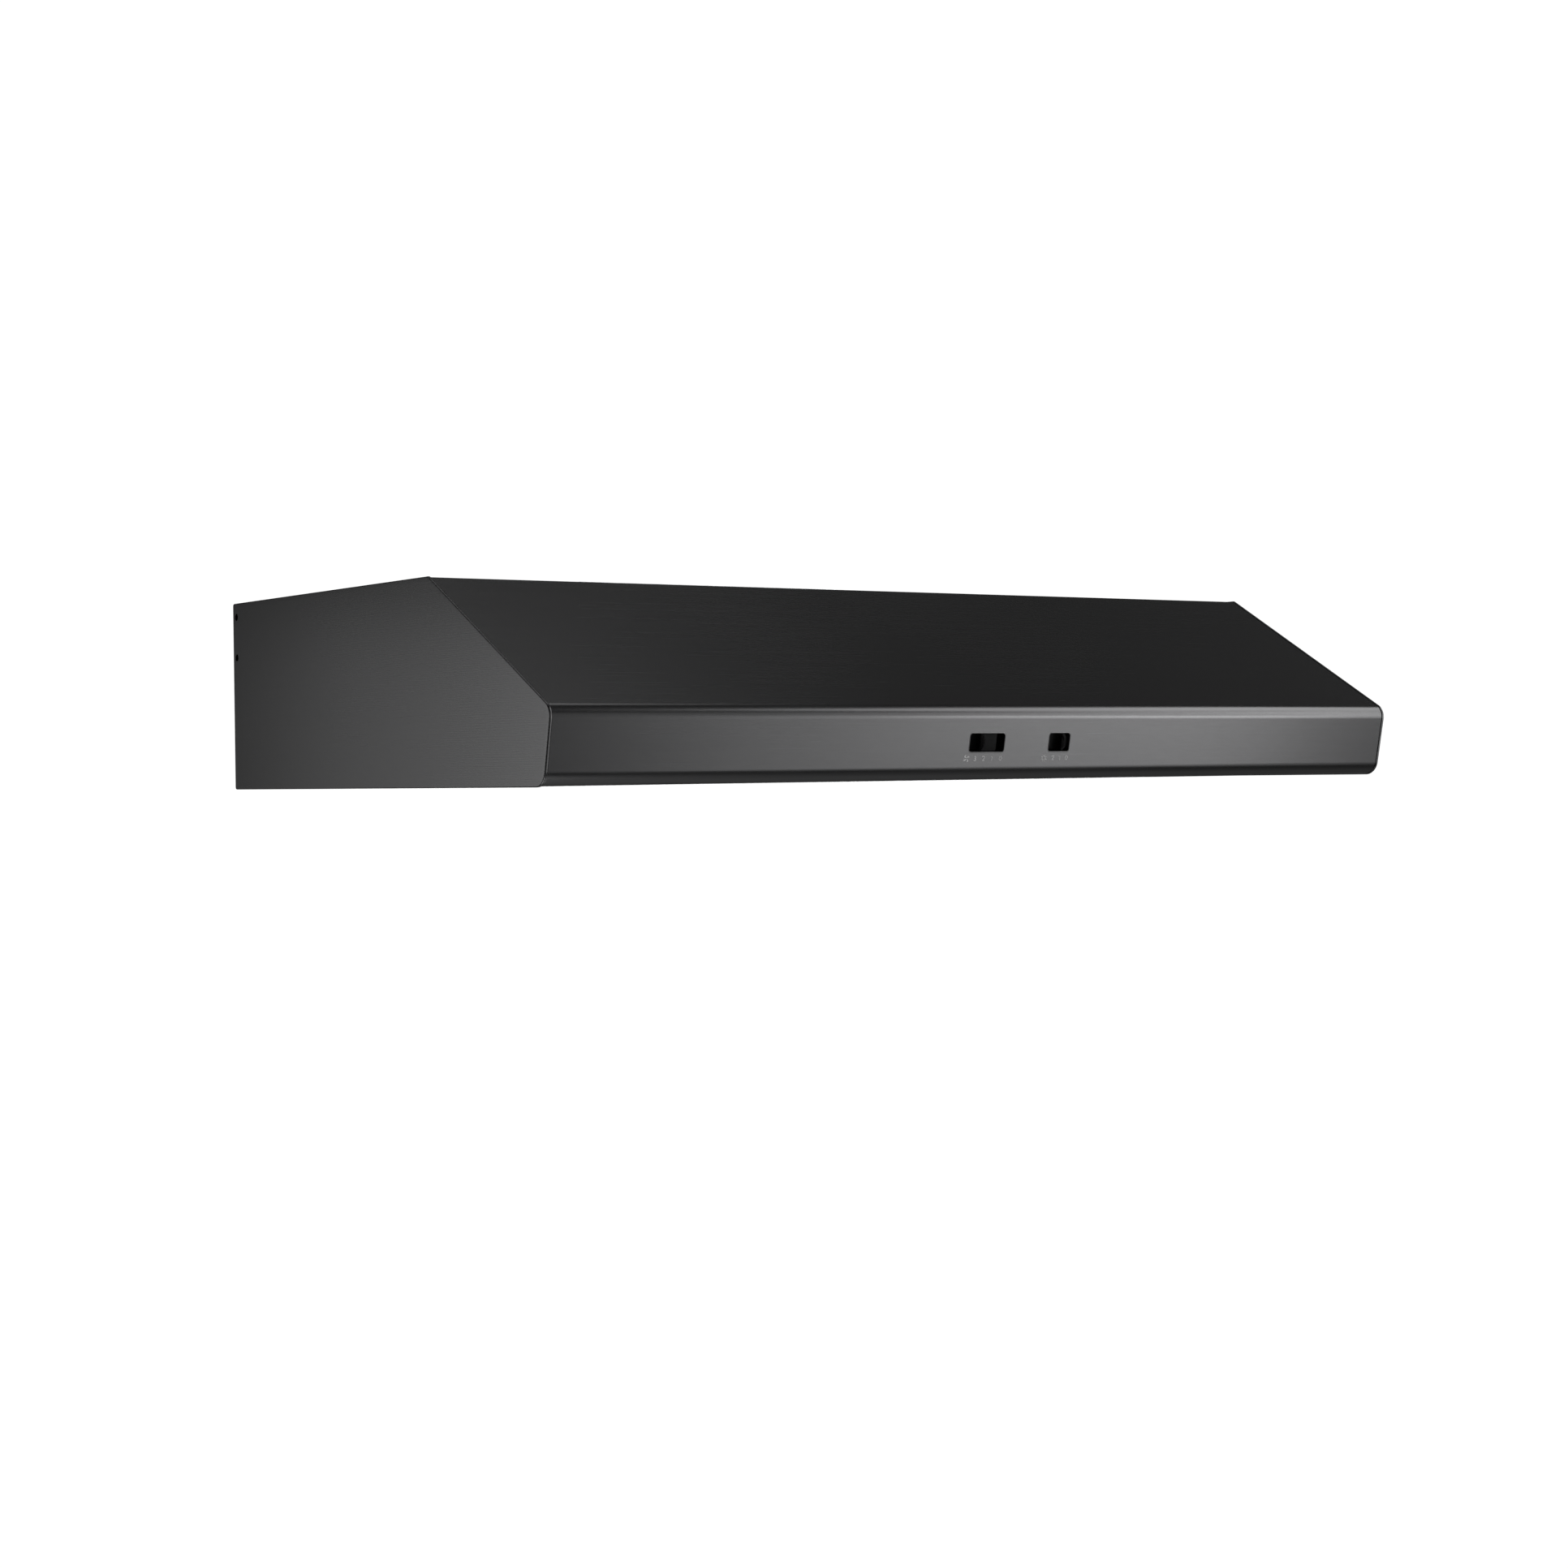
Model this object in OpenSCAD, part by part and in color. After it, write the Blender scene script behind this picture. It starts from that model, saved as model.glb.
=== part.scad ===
// Under-cabinet range hood: folded sheet-metal canopy, twin-wheel blower,
// hinged grease filters, duct collar with back-draught flap, slide controls.

/* [Canopy] */
// Overall width across the end panels
hood_w = 758.8; // [754:0.1:762]
// Height from the bottom rim to the top plate
hood_h = 146; // [144:0.5:150]
// Depth from the wall to the corner between slope and front lip
hood_d = 508; // [504:1:512]
// Depth of the flat top plate
top_d = 337.9; // [334:0.1:341]
// Height of the corner between slope and front lip
lip_z = 50.5; // [50:0.1:52]
// Depth of the lip at its bottom edge
lip_bottom_d = 497.7; // [497:0.1:499]
// Sheet thickness
sheet = 0.8; // [0.7:0.1:0.8]
// Outside radius of the bend above the lip
bend_upper = 10; // [8:0.5:12]
// Outside radius of the bend below the lip
bend_lower = 12; // [10:0.5:13]

/* [Fixings] */
// Spacing of the cabinet screws across the hood
screw_dx = 700; // [690:1:704]
// Spacing of the cabinet screws front to back
screw_dy = 240; // [220:1:250]
// Diameter of the cabinet screw holes
screw_hole = 6; // [5:0.5:7]
// Diameter of the two holes at the back of each end panel
side_hole = 5.6; // [4:0.2:6]
// Diameter of the wiring inlet
inlet_d = 22.2; // [20:0.2:23]

/* [Blower] */
// Outside diameter of each impeller
wheel_d = 88; // [80:1:90]
// Number of vanes on each impeller
vanes = 36; // [24:1:40]
// Diameter of the motor shaft
shaft_d = 8; // [7:0.5:9]
// Length of the duct collar
duct_l = 254; // [250:1:256]
// Width of the duct collar
duct_w = 82.6; // [80:0.2:83]
// Height of the duct collar above the top plate
duct_h = 18; // [16:1:20]

/* [Filters] */
// Width of one grease filter
filter_w = 347; // [340:1:348]
// Length of one grease filter
filter_l = 252; // [246:1:253]
// Thickness of one grease filter
filter_t = 9.5; // [8:0.5:9.5]

/* [Controls] */
// Width of the fan cut-out
fan_cut_w = 31.5; // [29:0.1:33]
// Width of the light cut-out
light_cut_w = 19.3; // [18:0.1:20]
// Height of both cut-outs
cut_h = 13.6; // [12:0.1:14]

/* [Hidden] */
$fn = 64;

t = sheet;
w2 = hood_w / 2;
wrap_x = w2 - 3.4;          // half length of the wrapper, leaving a 1.4 mm seam at each end
proud = 0.6;                // how far the end panels stand outside the wrapper
flange = 13.6;              // width of the end panels' flanges
mount_y = -160;             // centre of the cabinet screws, behind the front by this much

// corners of the side profile as [y, z], y = 0 at the wall and negative to the front
corners = [[0, 0], [0, hood_h], [-top_d, hood_h], [-hood_d, lip_z], [-lip_bottom_d, 0]];
radii = [1.6, 1.6, 2.2, bend_upper, bend_lower];
lip_tilt = atan((hood_d - lip_bottom_d) / lip_z);

function unit(v) = v / norm(v);
function outward(e) = [e[1], -e[0]];        // outward normal of an edge, walked anticlockwise
function next(i) = (i + 1) % 5;
function prev(i) = (i + 4) % 5;
// centre of the rounding circle at corner i
function bend_c(i) = let (u = unit(corners[prev(i)] - corners[i]), v = unit(corners[next(i)] - corners[i]),
    h = acos(u * v) / 2) corners[i] + unit(u + v) * radii[i] / sin(h);
// directions from the bend's centre to its two tangent points
function bend_a(i) = outward(unit(corners[i] - corners[prev(i)]));
function bend_b(i) = outward(unit(corners[next(i)] - corners[i]));
// points round bend i at a depth d inside the outer face, with n steps
function arc_pts(i, d, n) = let (a0 = atan2(bend_a(i)[1], bend_a(i)[0]), a1 = atan2(bend_b(i)[1], bend_b(i)[0]),
    sweep = a1 - a0 < 0 ? a1 - a0 + 360 : a1 - a0)
    [for (k = [0:n]) bend_c(i) + (radii[i] - d) * [cos(a0 + sweep * k / n), sin(a0 + sweep * k / n)]];

// solid side profile, inset by d (negative stands proud)
module profile(d) {
  polygon([for (i = [0:4]) for (p = arc_pts(i, d, i > 2 ? 14 : 5)) p]);
}
// sheet between two depths of the side profile
module skin(d0, d1) { difference() { profile(d0); profile(d1); } }
// extrude a [y, z] shape from x0 to x1
module ext(x0, x1) { translate([x0, 0, 0]) rotate([90, 0, 90]) linear_extrude(x1 - x0) children(); }
// box from low corner to high corner
module bx(a, b) { translate(a) cube(b - a); }
module zc(x, y, z0, z1, r) { translate([x, y, z0]) cylinder(h = z1 - z0, r = r); }
module xc(x0, x1, y, z, r) { translate([x0, y, z]) rotate([0, 90, 0]) cylinder(h = x1 - x0, r = r); }
module yc(x, y0, y1, z, r) { translate([x, y1, z]) rotate([90, 0, 0]) cylinder(h = y1 - y0, r = r); }
module rrect(w, h, r) {
  square([w - 2 * r, h], center = true);
  square([w, h - 2 * r], center = true);
  for (x = [-1, 1], y = [-1, 1]) translate([x * (w / 2 - r), y * (h / 2 - r)]) circle(r, $fn = 32);
}
// frame on the outer face of the lip: x along the hood, y up the lip from its top corner, z outward
module on_lip() { translate([0, -hood_d, lip_z]) rotate([90 + lip_tilt, 0, 0]) children(); }
// moves the model so the cabinet screw pattern's centre is the origin
module place() { translate([0, -mount_y, -hood_h]) children(); }

fan_x = -18.2;     light_x = 48.5;    cut_v = -24.5;
blow_y = -90;      blow_z = 72;       // impeller axis
duct_y = -71.3;                        // middle of the duct
scroll_in = 45;    scroll_out = 127;
duct_x = duct_l / 2;
fil_rear = -168;   fil_z = 3;         fil_x = 4 + filter_w / 2;
hinge_y = -162;    hinge_z = 4.5;      // line the filters tilt about
pan_z = t;         lamp_y = -452;     lamp_x = 250;
pivot_z = 153;     pivot_y = duct_y + duct_w / 2 - 5.2;
blower_pts = [for (x = [-86, 86], y = [duct_y - 47.4, duct_y + 47.4]) [x, y]];
strap_pts = [[0, blow_y - 48.5], [0, blow_y + 48.5]];
collar_pts = [[-duct_x - 6, duct_y], [duct_x + 6, duct_y]];
blank_pts = [for (x = [-133, 133], z = [40, 106]) [x, z]];
end_pts = [for (x = [-372, 372], y = [-60, -180, -300]) [x, y]];
rear_pts = [for (x = [-300, -150, 0, 150, 300]) [x, 132]];

module canopy_wrapper() color("#3a3a3b") difference() {
  ext(-wrap_x, wrap_x) difference() {
    skin(0, t);
    translate([-lip_bottom_d + 19.2, -1]) square([hood_d, t + 2]);
    translate([-t - 1, -1]) square([t + 2, hood_h - 23]);
  }
  for (s = [-1, 1]) bx([s > 0 ? 46 : -126, duct_y - duct_w / 2 + 1, hood_h - 5], [s > 0 ? 126 : -46, duct_y + duct_w / 2 - 1, hood_h + 5]);
  for (x = [-1, 1], y = [-1, 1]) zc(x * screw_dx / 2, mount_y + y * screw_dy / 2, hood_h - 5, hood_h + 5, screw_hole / 2);
  zc(-235, -54, hood_h - 5, hood_h + 5, inlet_d / 2);
  for (p = concat(blower_pts, strap_pts, collar_pts, end_pts)) zc(p[0], p[1], hood_h - 5, hood_h + 5, 2);
  for (p = rear_pts) yc(p[0], -3, 1, p[1], 2);
  on_lip() {
    translate([fan_x, cut_v, -4]) linear_extrude(8) rrect(fan_cut_w, cut_h, 2);
    translate([light_x, cut_v, -4]) linear_extrude(8) rrect(light_cut_w, cut_h, 2);
  }
}

// one end panel, drawn for the left side
module end_panel() difference() {
  union() {
    ext(-w2, -w2 + t) profile(-proud);
    // folded rim, as wide as its bend
    ext(-w2 + t, -w2 + 2) difference() {
      skin(-proud, -proud + t);
      translate([-10, -5]) square([20, hood_h]);
    }
    // top flange, lapped over the wrapper
    bx([-w2 + t, -top_d + 10, hood_h], [-w2 + t + flange, -8, hood_h + proud]);
    // flange behind the wrapper's slope, lip and lower bend
    ext(-w2 + t, -w2 + t + flange) intersection() {
      skin(t, 2 * t);
      translate([-hood_d - 5, 0]) square([hood_d + 5 - top_d - 8, hood_h]);
      translate([-hood_d - 5, 0]) polygon([[0, 0], [30, 0], [30, 20], [hood_d, 20], [hood_d, 160], [0, 160]]);
    }
    bx([-w2 + t, -470, 0], [-w2 + t + flange, -22, t]);
    bx([-w2 + t, -3 * t, 3], [-w2 + t + flange, -2 * t, hood_h - 6]);
  }
  // the plate keeps its rear edge flush with the wall
  bx([-w2 - 1, 0, -5], [-w2 + 30, 5, hood_h + 5]);
  for (z = [-10.4, -42.4]) xc(-w2 - 1, -w2 + 3, -6.5, hood_h + z, side_hole / 2);
  for (p = end_pts) if (p[0] < 0) zc(p[0], p[1], hood_h - 5, hood_h + 5, 2);
}
module left_end_panel() color("#454546") end_panel();
module right_end_panel() color("#454546") mirror([1, 0, 0]) end_panel();

module rear_panel() color("#8e9092") difference() {
  union() {
    bx([-w2 + t + 0.4, -2 * t, 0.2], [w2 - t - 0.4, -t, hood_h - 2.6]);
    bx([-w2 + t + flange + 1, -20, 0], [w2 - t - flange - 1, -t, t]);
  }
  bx([-duct_x, -5, 32], [duct_x, 5, 32 + duct_w]);
  for (p = concat(blank_pts, rear_pts)) yc(p[0], -4, 1, p[1], 2);
}
module rear_blanking_plate() color("#96989a") difference() {
  bx([-duct_x - 12, -t, 22], [duct_x + 12, 0, 121]);
  for (p = blank_pts) yc(p[0], -4, 1, p[1], 2);
}

module rear_pan() color("#8e9092") difference() {
  union() {
    bx([-w2 + t + flange + 1, -160.8, pan_z], [w2 - t - flange - 1, -3, pan_z + t]);
    bx([-w2 + t + flange + 1, -160.8, pan_z], [w2 - t - flange - 1, -160.8 + t, 16]);
  }
  for (s = [-1, 1], k = [-1, 1]) bx([s * fil_x + k * 100 - 12, -162, 3.2], [s * fil_x + k * 100 + 12, -158, 12]);
}

module lamp_panel() color("#8e9092") difference() {
  union() {
    bx([-w2 + t + flange + 1, -486, t], [w2 - t - flange - 1, -424, 2 * t]);
    bx([-w2 + t + flange + 1, -424.8, t], [w2 - t - flange - 1, -424.8 + t, 22]);
  }
  for (s = [-1, 1]) zc(s * lamp_x, lamp_y, -1, 4, 23);
}

module centre_rail() color("#8e9092") {
  bx([-12, -424, 13], [12, -160.8, 13 + t]);
  bx([-12, -424, 13], [12, -424 + t, 20]);
  bx([-12, -160.8 - t, 13], [12, -160.8, 16]);
}
module side_rail() {
  bx([344, -424, 13], [w2 - t, -160.8, 13 + t]);
  bx([w2 - 2 * t, -424, 13], [w2 - t, -160.8, 30]);
}
module left_side_rail() color("#8e9092") mirror([1, 0, 0]) side_rail();
module right_side_rail() color("#8e9092") side_rail();

// one grease filter, centred on x = 0
module filter_frame() {
  difference() {
    bx([-filter_w / 2, fil_rear - filter_l, fil_z], [filter_w / 2, fil_rear, fil_z + filter_t]);
    bx([-filter_w / 2 + 9, fil_rear - filter_l + 9, 0], [filter_w / 2 - 9, fil_rear - 9, 20]);
    bx([-filter_w / 2 + 0.6, fil_rear - filter_l + 0.6, fil_z + 0.6], [filter_w / 2 - 0.6, fil_rear - 0.6, fil_z + filter_t - 0.6]);
  }
  // rear hooks, each with a round bead that turns in its slot
  for (k = [-1, 1]) {
    bx([k * 100 - 10, fil_rear, 4], [k * 100 + 10, -156.5, 5]);
    xc(k * 100 - 10, k * 100 + 10, hinge_y, hinge_z, 1.1);
  }
}
module filter_mesh() for (z = [0.7, 4.5, filter_t - 1.1])
  bx([-filter_w / 2 + 1, fil_rear - filter_l + 1, fil_z + z], [filter_w / 2 - 1, fil_rear - 1, fil_z + z + 0.4]);
module filter_pull() {
  bx([-14, fil_rear - filter_l, fil_z - t], [14, fil_rear - filter_l + 15, fil_z]);
  xc(-14, 14, fil_rear - filter_l + 14, fil_z - t - 0.6, 1);
}
module filter_clips() for (k = [-110, 110]) {
  bx([k - 6, -424, 1.8], [k + 6, -423.4, 14]);
  bx([k - 6, -424, 1.8], [k + 6, -416, 2.4]);
  xc(k - 6, k + 6, -417, 2.2, 0.7);
}
module left_filter_frame() color("#b9bbbd") translate([-fil_x, 0, 0]) filter_frame();
module right_filter_frame() color("#b9bbbd") translate([fil_x, 0, 0]) filter_frame();
module left_filter_mesh() color("#a4a6a8") translate([-fil_x, 0, 0]) filter_mesh();
module right_filter_mesh() color("#a4a6a8") translate([fil_x, 0, 0]) filter_mesh();
module left_filter_pull() color("#c8cacc") translate([-fil_x, 0, 0]) filter_pull();
module right_filter_pull() color("#c8cacc") translate([fil_x, 0, 0]) filter_pull();
module left_filter_clips() color("#c8cacc") translate([-fil_x, 0, 0]) filter_clips();
module right_filter_clips() color("#c8cacc") translate([fil_x, 0, 0]) filter_clips();

module duct_collar() color("#9a9c9e") difference() {
  union() {
    translate([0, duct_y, hood_h]) linear_extrude(t) square([duct_l + 24, duct_w + 24.4], center = true);
    translate([0, duct_y, hood_h]) linear_extrude(duct_h) square([duct_l, duct_w], center = true);
  }
  translate([0, duct_y, hood_h - 1]) linear_extrude(duct_h + 2) square([duct_l - 2 * t, duct_w - 2 * t], center = true);
  for (p = concat(blower_pts, collar_pts)) zc(p[0], p[1], hood_h - 5, hood_h + 5, 2);
  xc(-duct_x - 1, duct_x + 1, pivot_y, pivot_z, 2.05);
}
module damper_flap() color("#b4b6b8") difference() {
  union() {
    bx([-duct_x + 2.4, duct_y - duct_w / 2 + 2, pivot_z - 0.4], [duct_x - 2.4, pivot_y, pivot_z + 0.4]);
    xc(-duct_x + 2.4, duct_x - 2.4, pivot_y, pivot_z, 3);
    bx([-duct_x + 20, duct_y - 20, pivot_z], [duct_x - 20, duct_y - 17, pivot_z + 2]);
  }
  xc(-duct_x, duct_x, pivot_y, pivot_z, 2);
}
module damper_pin() color("#d0d2d4") xc(-duct_x - 1.4, duct_x + 1.4, pivot_y, pivot_z, 2);

// spiral casing outline, inset by d
module volute(d) {
  translate([blow_y + 4, blow_z - 0.5]) circle(56 - d, $fn = 96);
  translate([duct_y - duct_w / 2 + d, blow_z]) square([duct_w - 2 * d, hood_h - t - blow_z]);
}
module scroll() difference() {
  union() {
    ext(scroll_in, scroll_out) volute(0);
    bx([scroll_in, duct_y - duct_w / 2 - 12, hood_h - 2 * t], [scroll_out, duct_y + duct_w / 2 + 12, hood_h - t]);
  }
  ext(scroll_in + t, scroll_out - t) {
    volute(t);
    translate([duct_y - duct_w / 2 + t, blow_z]) square([duct_w - 2 * t, 100]);
  }
  xc(scroll_in - 1, scroll_out + 1, blow_y, blow_z, 34);
  for (p = blower_pts) if (p[0] > 0) zc(p[0], p[1], hood_h - 6, hood_h + 1, 2);
}
module left_scroll() color("#9fa1a3") mirror([1, 0, 0]) scroll();
module right_scroll() color("#9fa1a3") scroll();

module impeller() difference() {
  union() {
    ext(50, 118) translate([blow_y, blow_z]) for (i = [0:vanes - 1])
      rotate(i * 360 / vanes) translate([wheel_d / 2 - 4.4, 0]) rotate(25) square([8, 0.9], center = true);
    for (x = [50, 116]) difference() {
      xc(x, x + 2, blow_y, blow_z, wheel_d / 2);
      xc(x - 1, x + 3, blow_y, blow_z, wheel_d / 2 - 7);
    }
    xc(83, 85, blow_y, blow_z, wheel_d / 2);
    xc(74, 94, blow_y, blow_z, 10);
  }
  xc(40, 130, blow_y, blow_z, shaft_d / 2);
}
module left_impeller() color("#6f7173") mirror([1, 0, 0]) impeller();
module right_impeller() color("#6f7173") impeller();

module motor_shaft() color("#c4c6c8") xc(-98, 98, blow_y, blow_z, shaft_d / 2);
module motor_rotor() color("#77797b") difference() {
  xc(-11, 11, blow_y, blow_z, 19.5);
  xc(-12, 12, blow_y, blow_z, shaft_d / 2);
}
module motor_stator() color("#5a5c5e") difference() {
  xc(-12, 12, blow_y, blow_z, 40);
  xc(-13, 13, blow_y, blow_z, 20.2);
  for (i = [0:5]) translate([0, blow_y, blow_z]) rotate([i * 60, 0, 0]) bx([-13, -3.4, 0], [13, 3.4, 31]);
}
module motor_windings() color("#b06a34") for (s = [-1, 1]) difference() {
  xc(s > 0 ? 12.2 : -21, s > 0 ? 21 : -12.2, blow_y, blow_z, 34);
  xc(-30, 30, blow_y, blow_z, 23);
}
module bell() difference() {
  union() {
    xc(12, 34, blow_y, blow_z, 38);
    xc(28, 37, blow_y, blow_z, 14);
  }
  difference() { xc(11, 31, blow_y, blow_z, 35.5); xc(28, 32, blow_y, blow_z, 14); }
  xc(27, 34, blow_y, blow_z, 9.5);
  xc(30, 40, blow_y, blow_z, 5);
  for (i = [0:5]) translate([0, blow_y, blow_z]) rotate([i * 60, 0, 0]) xc(28, 36, 0, 25, 4.5);
}
module motor_left_bell() color("#7d7f81") mirror([1, 0, 0]) bell();
module motor_right_bell() color("#7d7f81") bell();
module motor_bearings() color("#c4c6c8") for (s = [-34, 28]) difference() {
  xc(s, s + 6, blow_y, blow_z, 9.5);
  xc(s - 1, s + 7, blow_y, blow_z, shaft_d / 2 + 0.03);
}
module motor_strap() color("#9a9c9e") difference() {
  ext(-11, 11) difference() {
    union() {
      translate([blow_y, blow_z]) circle(41.5, $fn = 96);
      translate([blow_y - 41.5, blow_z]) square([83, hood_h - t - blow_z]);
      translate([blow_y - 56, hood_h - t - 1]) square([112, 1]);
    }
    translate([blow_y, blow_z]) circle(40, $fn = 96);
    translate([blow_y - 40, blow_z]) square([80, 100]);
  }
  for (p = strap_pts) zc(p[0], p[1], hood_h - 6, hood_h, 2);
}

// recess and body of a slide switch behind the lip, from x0 to x1
module switch_body(x0, x1) on_lip() difference() {
  union() {
    translate([x0 - 4, cut_v - 9.5, -11.8]) cube([x1 - x0 + 8, 19, 11.7 - t]);
    translate([(x0 + x1) / 2 - 9, cut_v - 6, -19.8]) cube([18, 12, 8.2]);
    for (k = [-5, 0, 5]) translate([(x0 + x1) / 2 + k - 0.4, cut_v - 2, -23]) cube([0.8, 4, 4]);
  }
  translate([(x0 + x1) / 2, cut_v, -9.8]) linear_extrude(12) rrect(x1 - x0, 14.4, 1.2);
}
module fan_switch_body() color("#1b1b1c") switch_body(-49, 0.6);
module light_switch_body() color("#1b1b1c") switch_body(25.4, 58.6);
// fan knob: low plate, with a raised finger bar beside a round dish
module fan_slider() color("#242425") on_lip() {
  translate([-20.4, cut_v, -9.4]) linear_extrude(4.6) rrect(25.2, 13.6, 1);
  translate([0, cut_v, -4.9]) linear_extrude(2.9) difference() {
    translate([-16.4, 0]) rrect(17.2, 13.6, 1);
    translate([-26.4, 0]) circle(7);
  }
}
// light knob: low plate, with a raised crescent round a dish
module light_slider() color("#242425") on_lip() {
  translate([48.4, cut_v, -9.4]) linear_extrude(4.6) rrect(19, 13.6, 1);
  translate([0, cut_v, -4.9]) linear_extrude(2.9) intersection() {
    difference() {
      translate([50, 0]) circle(7.6);
      translate([48.3, 0]) circle(6.6);
    }
    translate([52, -6.6]) square([10, 13.2]);
  }
}

module lamp_body(x) difference() {
  union() {
    zc(x, lamp_y, 2 * t, 20, 24.6);
    zc(x, lamp_y, 2 * t, 2 * t + 1, 25.8);
    zc(x, lamp_y, 20, 24, 12);
  }
  zc(x, lamp_y, 0, 18, 23.6);
}
module left_lamp_body() color("#c9cbcd") lamp_body(-lamp_x);
module right_lamp_body() color("#c9cbcd") lamp_body(lamp_x);
module lamp_lens(x) {
  zc(x, lamp_y, 0.3, 2 * t, 22.7);
  zc(x, lamp_y, 2 * t, 3.4, 23.5);
}
module left_lamp_lens() color([0.92, 0.93, 0.9, 0.6]) lamp_lens(-lamp_x);
module right_lamp_lens() color([0.92, 0.93, 0.9, 0.6]) lamp_lens(lamp_x);
module lamp_boards() color("#e8e8e2") for (s = [-1, 1]) zc(s * lamp_x, lamp_y, 16.4, 18, 23);

module wiring_box() color("#8e9092") difference() {
  bx([-290, -100, 100], [-180, -8, hood_h - t]);
  bx([-290 + t, -101, 100 + t], [-180 - t, -8 - t, hood_h]);
}
module wiring_box_cover() color("#96989a") difference() {
  union() {
    bx([-290, -100.8, 100], [-180, -100, hood_h - t]);
    bx([-290, -100.8, 94], [-180, -100, 100]);
  }
  for (x = [-270, -200]) yc(x, -102, -99, 97, 1.6);
}
module terminal_block() color("#e6e4da") difference() {
  bx([-270, -30, 100 + t], [-210, -14, 116]);
  for (x = [-262, -250, -238, -226]) zc(x + 3, -22, 108, 120, 2.5);
}
module run_capacitor() color("#d8dade") {
  xc(-265, -215, -72, 100.8 + 15, 15);
  for (z = [-5, 5]) xc(-215, -209, -72, 115.8 + z, 1.5);
}
// routes of the two wire bundles
harness_pts = [[-290.1, -50, 130], [-315, -50, 130], [-323, -53, 130], [-326, -62, 130], [-326, -200, 130], [-326, -320, 129],
  [-326, -335, 126], [-326, -400, 98], [-326, -458, 62], [-325, -468, 50], [-320, -472, 40], [-308, -472, 35],
  [-200, -472, 34], [-50, -472, 34], [100, -472, 34], [225, -472, 34], [240, -467, 34], [247, -460, 33.6], [249.6, -454, 31.5], [250, -452, 28], [250, -452, 24.05]];
lead_pts = [[-179.9, -84, 125], [-160, -84, 125], [-152, -88, 125], [-150, -98, 125], [-150, -138, 128], [-147, -148, 129],
  [-137, -152, 130], [-60, -152, 130], [-36, -150, 130], [-26, -143, 129], [-24, -134, 125], [-24, -118.4, 110.5]];
function tangent(p, i) = i == 0 ? unit(p[1] - p[0]) : i == len(p) - 1 ? unit(p[i] - p[i - 1])
  : unit(unit(p[i + 1] - p[i]) + unit(p[i] - p[i - 1]));
function square_to(n, v) = unit(n - v * (n * v));
function normals(p, i = 0, n = [0, 0, 1]) = i == len(p) ? [] : let (m = square_to(n, tangent(p, i))) concat([m], normals(p, i + 1, m));
// round tube along a route
module wire(pts, r, sides = 10) {
  nn = normals(pts);
  rings = [for (i = [0:len(pts) - 1]) let (v = cross(tangent(pts, i), nn[i]))
    for (k = [0:sides - 1]) pts[i] + r * (cos(k * 360 / sides) * nn[i] + sin(k * 360 / sides) * v)];
  last = (len(pts) - 1) * sides;
  polyhedron(rings, concat(
    [[for (k = [0:sides - 1]) k]],
    [for (i = [0:len(pts) - 2]) for (k = [0:sides - 1]) let (a = i * sides + k, b = i * sides + (k + 1) % sides)
      for (f = [[a, b + sides, b], [a, a + sides, b + sides]]) f],
    [[for (k = [sides - 1:-1:0]) last + k]]));
}
module front_harness() color("#2c2c2d") wire(harness_pts, 3);
module motor_lead() color("#2c2c2d") wire(lead_pts, 2.5);

// pan head below a sheet stack, with its shank going up
module screw_up(x, y, z0, z1) { zc(x, y, z0 - 2, z0, 3.6); zc(x, y, z0, z1, 1.95); }
module blower_screws() color("#bfc1c3") {
  for (p = blower_pts) screw_up(p[0], p[1], hood_h - 2 * t, hood_h + t);
  for (p = strap_pts) screw_up(p[0], p[1], hood_h - t - 1, hood_h);
}
module collar_screws() color("#bfc1c3") for (p = collar_pts) {
  zc(p[0], p[1], hood_h + t, hood_h + t + 2, 3.6);
  zc(p[0], p[1], hood_h - 4, hood_h + t, 1.95);
}
module cover_screws() color("#bfc1c3") for (x = [-270, -200]) {
  yc(x, -102.6, -100.8, 97, 3);
  yc(x, -100.8, -97, 97, 1.55);
}
module blanking_screws() color("#bfc1c3") for (p = blank_pts) {
  yc(p[0], -3.4, -2 * t, p[1], 3.6);
  yc(p[0], -2 * t, -0.1, p[1], 1.95);
}
module canopy_rivets() color("#bfc1c3") {
  for (p = end_pts) { zc(p[0], p[1], hood_h - t - 1.4, hood_h - t, 3.2); zc(p[0], p[1], hood_h - t, hood_h + proud, 1.95); }
  for (p = rear_pts) { yc(p[0], -3, -2 * t, p[1], 3.2); yc(p[0], -2 * t, -0.1, p[1], 1.95); }
}

place() canopy_wrapper();
place() left_end_panel();
place() right_end_panel();
place() rear_panel();
place() rear_blanking_plate();
place() rear_pan();
place() lamp_panel();
place() centre_rail();
place() left_side_rail();
place() right_side_rail();
place() left_filter_frame();
place() left_filter_mesh();
place() left_filter_pull();
place() right_filter_frame();
place() right_filter_mesh();
place() right_filter_pull();
place() left_filter_clips();
place() right_filter_clips();
place() duct_collar();
place() damper_flap();
place() damper_pin();
place() left_scroll();
place() right_scroll();
place() left_impeller();
place() right_impeller();
place() motor_shaft();
place() motor_rotor();
place() motor_stator();
place() motor_windings();
place() motor_left_bell();
place() motor_right_bell();
place() motor_bearings();
place() motor_strap();
place() fan_switch_body();
place() fan_slider();
place() light_switch_body();
place() light_slider();
place() left_lamp_body();
place() right_lamp_body();
place() left_lamp_lens();
place() right_lamp_lens();
place() lamp_boards();
place() wiring_box();
place() wiring_box_cover();
place() terminal_block();
place() run_capacitor();
place() front_harness();
place() motor_lead();
place() blower_screws();
place() collar_screws();
place() cover_screws();
place() blanking_screws();
place() canopy_rivets();
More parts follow.
